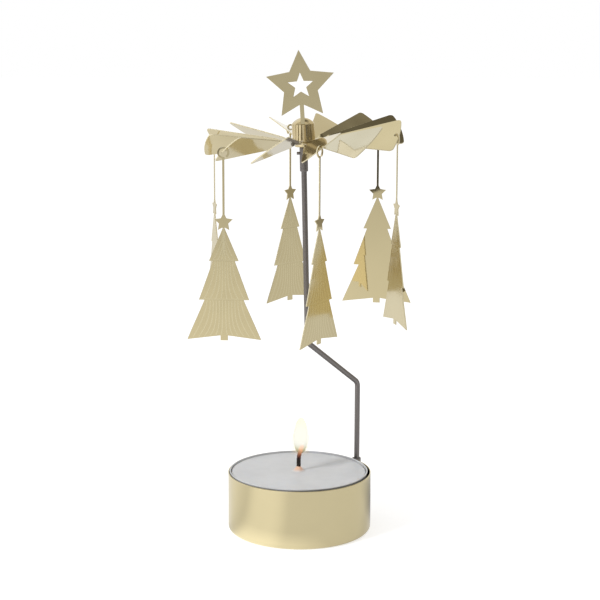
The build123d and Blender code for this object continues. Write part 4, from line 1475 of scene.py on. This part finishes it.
def seen_rays(graph):
    """1 for rays of the camera and for rays that metal or glass sends on, else 0."""
    path = graph.add("ShaderNodeLightPath").outputs
    onward = graph.math("MAXIMUM", path["Is Glossy Ray"], path["Is Transmission Ray"])
    return path["Is Camera Ray"], onward


def near_direction(graph, aim, azimuth, elevation, width):
    """1 towards a direction, easing to 0 at a half width in degrees from it."""
    towards = heading(math.radians(azimuth), math.radians(elevation))
    dot = graph.add("ShaderNodeVectorMath", {0: aim, 1: tuple(towards)}, operation="DOT_PRODUCT")
    inputs = {"Value": dot.outputs["Value"], "From Min": math.cos(math.radians(width)),
              "From Max": 1.0}
    eased = graph.add("ShaderNodeMapRange", inputs, interpolation_type="SMOOTHSTEP")
    return eased.outputs["Result"]


def make_floor(studio):
    """Pale tabletop with a stepped front end and a right end that turns in. It is lifted to white
    for the camera, so that it keeps the shadow, and is uneven for the rays that metal sends on."""
    outline = np.array([
        (-studio.floor_left, -studio.step_front), (-studio.step_left, -studio.step_front),
        (-studio.step_left, -studio.slant_front), (-studio.slant_left, -studio.floor_front),
        (studio.floor_right, -studio.floor_front),
        (studio.floor_right, studio.cut_start), (studio.cut_side, studio.cut_back),
        (studio.floor_right, studio.floor_back), (-studio.floor_left, studio.floor_back),
    ])
    mesh = bpy.data.meshes.new("floor")
    points = np.column_stack([outline, np.zeros(len(outline))])
    mesh.from_pydata(points.tolist(), [], [list(range(len(outline)))])
    floor = bpy.data.objects.new("floor", mesh)
    bpy.context.scene.collection.objects.link(floor)
    material, graph = new_material("floor_paper")
    camera, onward = seen_rays(graph)
    tone = graph.blend(onward, studio.floor_tone, studio.floor_tone * studio.floor_gloss)
    grey = graph.add("ShaderNodeCombineColor", {0: tone, 1: tone, 2: tone})
    paper = graph.add("ShaderNodeBsdfDiffuse", {"Color": grey.outputs[0]})
    place = graph.position((1, 1, 0))
    aim = graph.add("ShaderNodeVectorMath", {0: place}, operation="NORMALIZE").outputs["Vector"]
    away = graph.add("ShaderNodeVectorMath", {0: place}, operation="LENGTH").outputs["Value"]
    glow = studio.floor_glow
    for _, azimuth, width, light, start, full in FLOOR_STRETCHES:
        near = near_direction(graph, aim, azimuth, 0, width)
        reached = graph.span(away, (0.0, light), (start, full))
        glow = graph.math("ADD", glow, graph.math("MULTIPLY", near, reached))
    lift = graph.math("ADD", graph.math("MULTIPLY", camera, studio.floor_lift),
                      graph.math("MULTIPLY", onward, glow))
    shine = graph.add("ShaderNodeEmission", {"Color": (1, 1, 1, 1), "Strength": lift})
    both = graph.add("ShaderNodeAddShader", {0: paper.outputs[0], 1: shine.outputs[0]})
    close_material(graph, both)
    mesh.materials.append(material)


def make_world():
    """Plain light all round for what is not metal, white for the camera, and for metal a room
    that is dim on the camera's side and lighter behind, with the soft areas of SURROUNDINGS."""
    world = bpy.data.worlds.new("studio")
    world.use_nodes = True
    bpy.context.scene.world = world
    graph = Graph(world.node_tree)
    aim = graph.add("ShaderNodeTexCoord").outputs["Generated"]
    behind = graph.add("ShaderNodeSeparateXYZ", {0: aim}).outputs["Y"]
    tone = graph.mix(graph.span(behind, (0, 1), (-0.2, 0.35)), opaque(ROOM_IN_FRONT),
                     opaque(ROOM_BEHIND))
    for _, azimuth, elevation, width, area in SURROUNDINGS:
        near = near_direction(graph, aim, azimuth, elevation, width)
        tone = graph.mix(near, tone, opaque(area))
    camera, onward = seen_rays(graph)
    room = graph.mix(onward, opaque(PLAIN_ROOM), tone)
    seen = graph.mix(camera, room, (1, 1, 1, 1))
    light = graph.add("ShaderNodeBackground", {"Color": seen, "Strength": 1.0})
    graph.add("ShaderNodeOutputWorld", {"Surface": light.outputs[0]})


def make_key(studio):
    """One soft square lamp above the camera's left side, turned to the object's middle. Metal
    shows the window of SURROUNDINGS in its place."""
    data = bpy.data.lights.new("soft_lamp", "AREA")
    data.energy = studio.key_power
    data.size = studio.key_size
    lamp = bpy.data.objects.new("soft_lamp", data)
    towards = heading(studio.key_azimuth, studio.key_elevation)
    middle = (np.array(CAD_BOX[0]) + np.array(CAD_BOX[1])) / 2
    place = middle + towards * studio.key_distance
    side = unit(np.cross(UP, towards))
    axes = np.column_stack([side, np.cross(towards, side), towards])
    lamp.matrix_world = standing(axes, place)
    lamp.visible_camera = False
    lamp.visible_glossy = False
    bpy.context.scene.collection.objects.link(lamp)


def dress_node(node, finish):
    """Give a CAD node that stays as it is its finish."""
    carried_over = frame["nodes"][node]
    carried_over.data.materials.clear()
    carried_over.data.materials.append(finish)


class HOLDER_OT_stage(bpy.types.Operator):
    """Set up the camera, the floor, the surroundings and the lamp"""

    bl_idname = "holder.make_stage"
    bl_label = "Stage"

    def execute(self, context):
        studio = context.scene.holder.studio
        context.scene.view_settings.view_transform = "Standard"
        make_camera(studio)
        make_floor(studio)
        make_world()
        make_key(studio)
        return {"FINISHED"}


class HOLDER_OT_cup(bpy.types.Operator):
    """Make the drawn brass cup"""

    bl_idname = "holder.make_cup"
    bl_label = "Base cup"

    def execute(self, context):
        holder = context.scene.holder
        cup_pieces(holder.cup, holder.finishes)
        return {"FINISHED"}


class HOLDER_OT_socket(bpy.types.Operator):
    """Make the rod's socket behind the cup"""

    bl_idname = "holder.make_socket"
    bl_label = "Rod socket"

    def execute(self, context):
        holder = context.scene.holder
        socket_pieces(holder.cup, holder.finishes)
        return {"FINISHED"}


class HOLDER_OT_tealight(bpy.types.Operator):
    """Make the tealight: aluminium cup, wax and wick"""

    bl_idname = "holder.make_tealight"
    bl_label = "Tealight"

    def execute(self, context):
        holder = context.scene.holder
        tealight_pieces(holder.tealight, holder.finishes)
        wax_pieces(holder.tealight, holder.finishes)
        wick_pieces(holder.tealight, holder.finishes)
        return {"FINISHED"}


class HOLDER_OT_flame(bpy.types.Operator):
    """Make the flame on the wick"""

    bl_idname = "holder.make_flame"
    bl_label = "Flame"

    def execute(self, context):
        flame_pieces(context.scene.holder.flame)
        return {"FINISHED"}


class HOLDER_OT_rod(bpy.types.Operator):
    """Make the bent rod and the sleeve on its upper end"""

    bl_idname = "holder.make_rod"
    bl_label = "Rod and sleeve"

    def execute(self, context):
        holder = context.scene.holder
        rod_pieces(holder.rod, holder.cup, holder.finishes)
        sleeve_pieces(holder.rod, holder.cup, holder.finishes)
        return {"FINISHED"}


class HOLDER_OT_rotor(bpy.types.Operator):
    """Make the rotor with its pitched blades"""

    bl_idname = "holder.make_rotor"
    bl_label = "Rotor"

    def execute(self, context):
        holder = context.scene.holder
        rotor_pieces(holder.rotor, holder.finishes)
        return {"FINISHED"}


class HOLDER_OT_hub(bpy.types.Operator):
    """Make the hub's domed cap and collar"""

    bl_idname = "holder.make_hub"
    bl_label = "Hub"

    def execute(self, context):
        holder = context.scene.holder
        hub_pieces(holder.hub, holder.rotor, holder.star, holder.finishes)
        return {"FINISHED"}


class HOLDER_OT_star(bpy.types.Operator):
    """Make the star on the hub"""

    bl_idname = "holder.make_star"
    bl_label = "Star"

    def execute(self, context):
        holder = context.scene.holder
        star_pieces(holder.star, holder.rotor, holder.hub, holder.finishes)
        return {"FINISHED"}


class HOLDER_OT_trees(bpy.types.Operator):
    """Make the six hanging trees"""

    bl_idname = "holder.make_trees"
    bl_label = "Hanging trees"

    def execute(self, context):
        holder = context.scene.holder
        for number in range(1, TREE_COUNT + 1):
            tree_pieces(number, holder.trees, holder.rotor, holder.finishes)
        return {"FINISHED"}


class HOLDER_OT_inner_parts(bpy.types.Operator):
    """Give the needle, the pivot seat and the wick sustainer their finishes"""

    bl_idname = "holder.dress_inner_parts"
    bl_label = "Needle, pivot seat and sustainer"

    def execute(self, context):
        tones = context.scene.holder.finishes
        dress_node("needle", bright_steel(tones))
        dress_node("pivot_seat", polished_brass(tones))
        dress_node("wick_sustainer", tin_plate(tones))
        return {"FINISHED"}


OPERATORS = (
    HOLDER_OT_stage, HOLDER_OT_cup, HOLDER_OT_socket, HOLDER_OT_tealight, HOLDER_OT_flame,
    HOLDER_OT_rod, HOLDER_OT_rotor, HOLDER_OT_hub, HOLDER_OT_star, HOLDER_OT_trees,
    HOLDER_OT_inner_parts,
)


class HOLDER_PT_sidebar(bpy.types.Panel):
    """Lists the pieces and their sizes in the 3D view's sidebar."""

    bl_idname = "HOLDER_PT_sidebar"
    bl_label = "Tealight holder"
    bl_space_type = "VIEW_3D"
    bl_region_type = "UI"
    bl_category = "Tealight holder"

    def draw(self, context):
        for operator in OPERATORS:
            self.layout.operator(operator.bl_idname)
        holder = context.scene.holder
        for group in HolderSettings.__annotations__:
            box = self.layout.box()
            box.label(text=group.capitalize())
            settings = getattr(holder, group)
            for name in type(settings).__annotations__:
                box.prop(settings, name)


CLASSES = (
    CupSizes, TealightSizes, FlameSizes, RodSizes, RotorSizes, HubSizes, StarSizes, TreeSizes,
    Finishes, StudioSettings, HolderSettings, *OPERATORS, HOLDER_PT_sidebar,
)


def register():
    """Register the classes and hang the settings on the scene."""
    for item in CLASSES:
        bpy.utils.register_class(item)
    bpy.types.Scene.holder = bpy.props.PointerProperty(type=HolderSettings)


def unregister():
    """Take the settings off the scene and unregister the classes."""
    del bpy.types.Scene.holder
    for item in reversed(CLASSES):
        bpy.utils.unregister_class(item)


def main():
    """Register, and make every piece in order."""
    register()
    for operator in OPERATORS:
        name = operator.bl_idname.split(".")[1]
        getattr(bpy.ops.holder, name)()


if __name__ == "__main__":
    main()
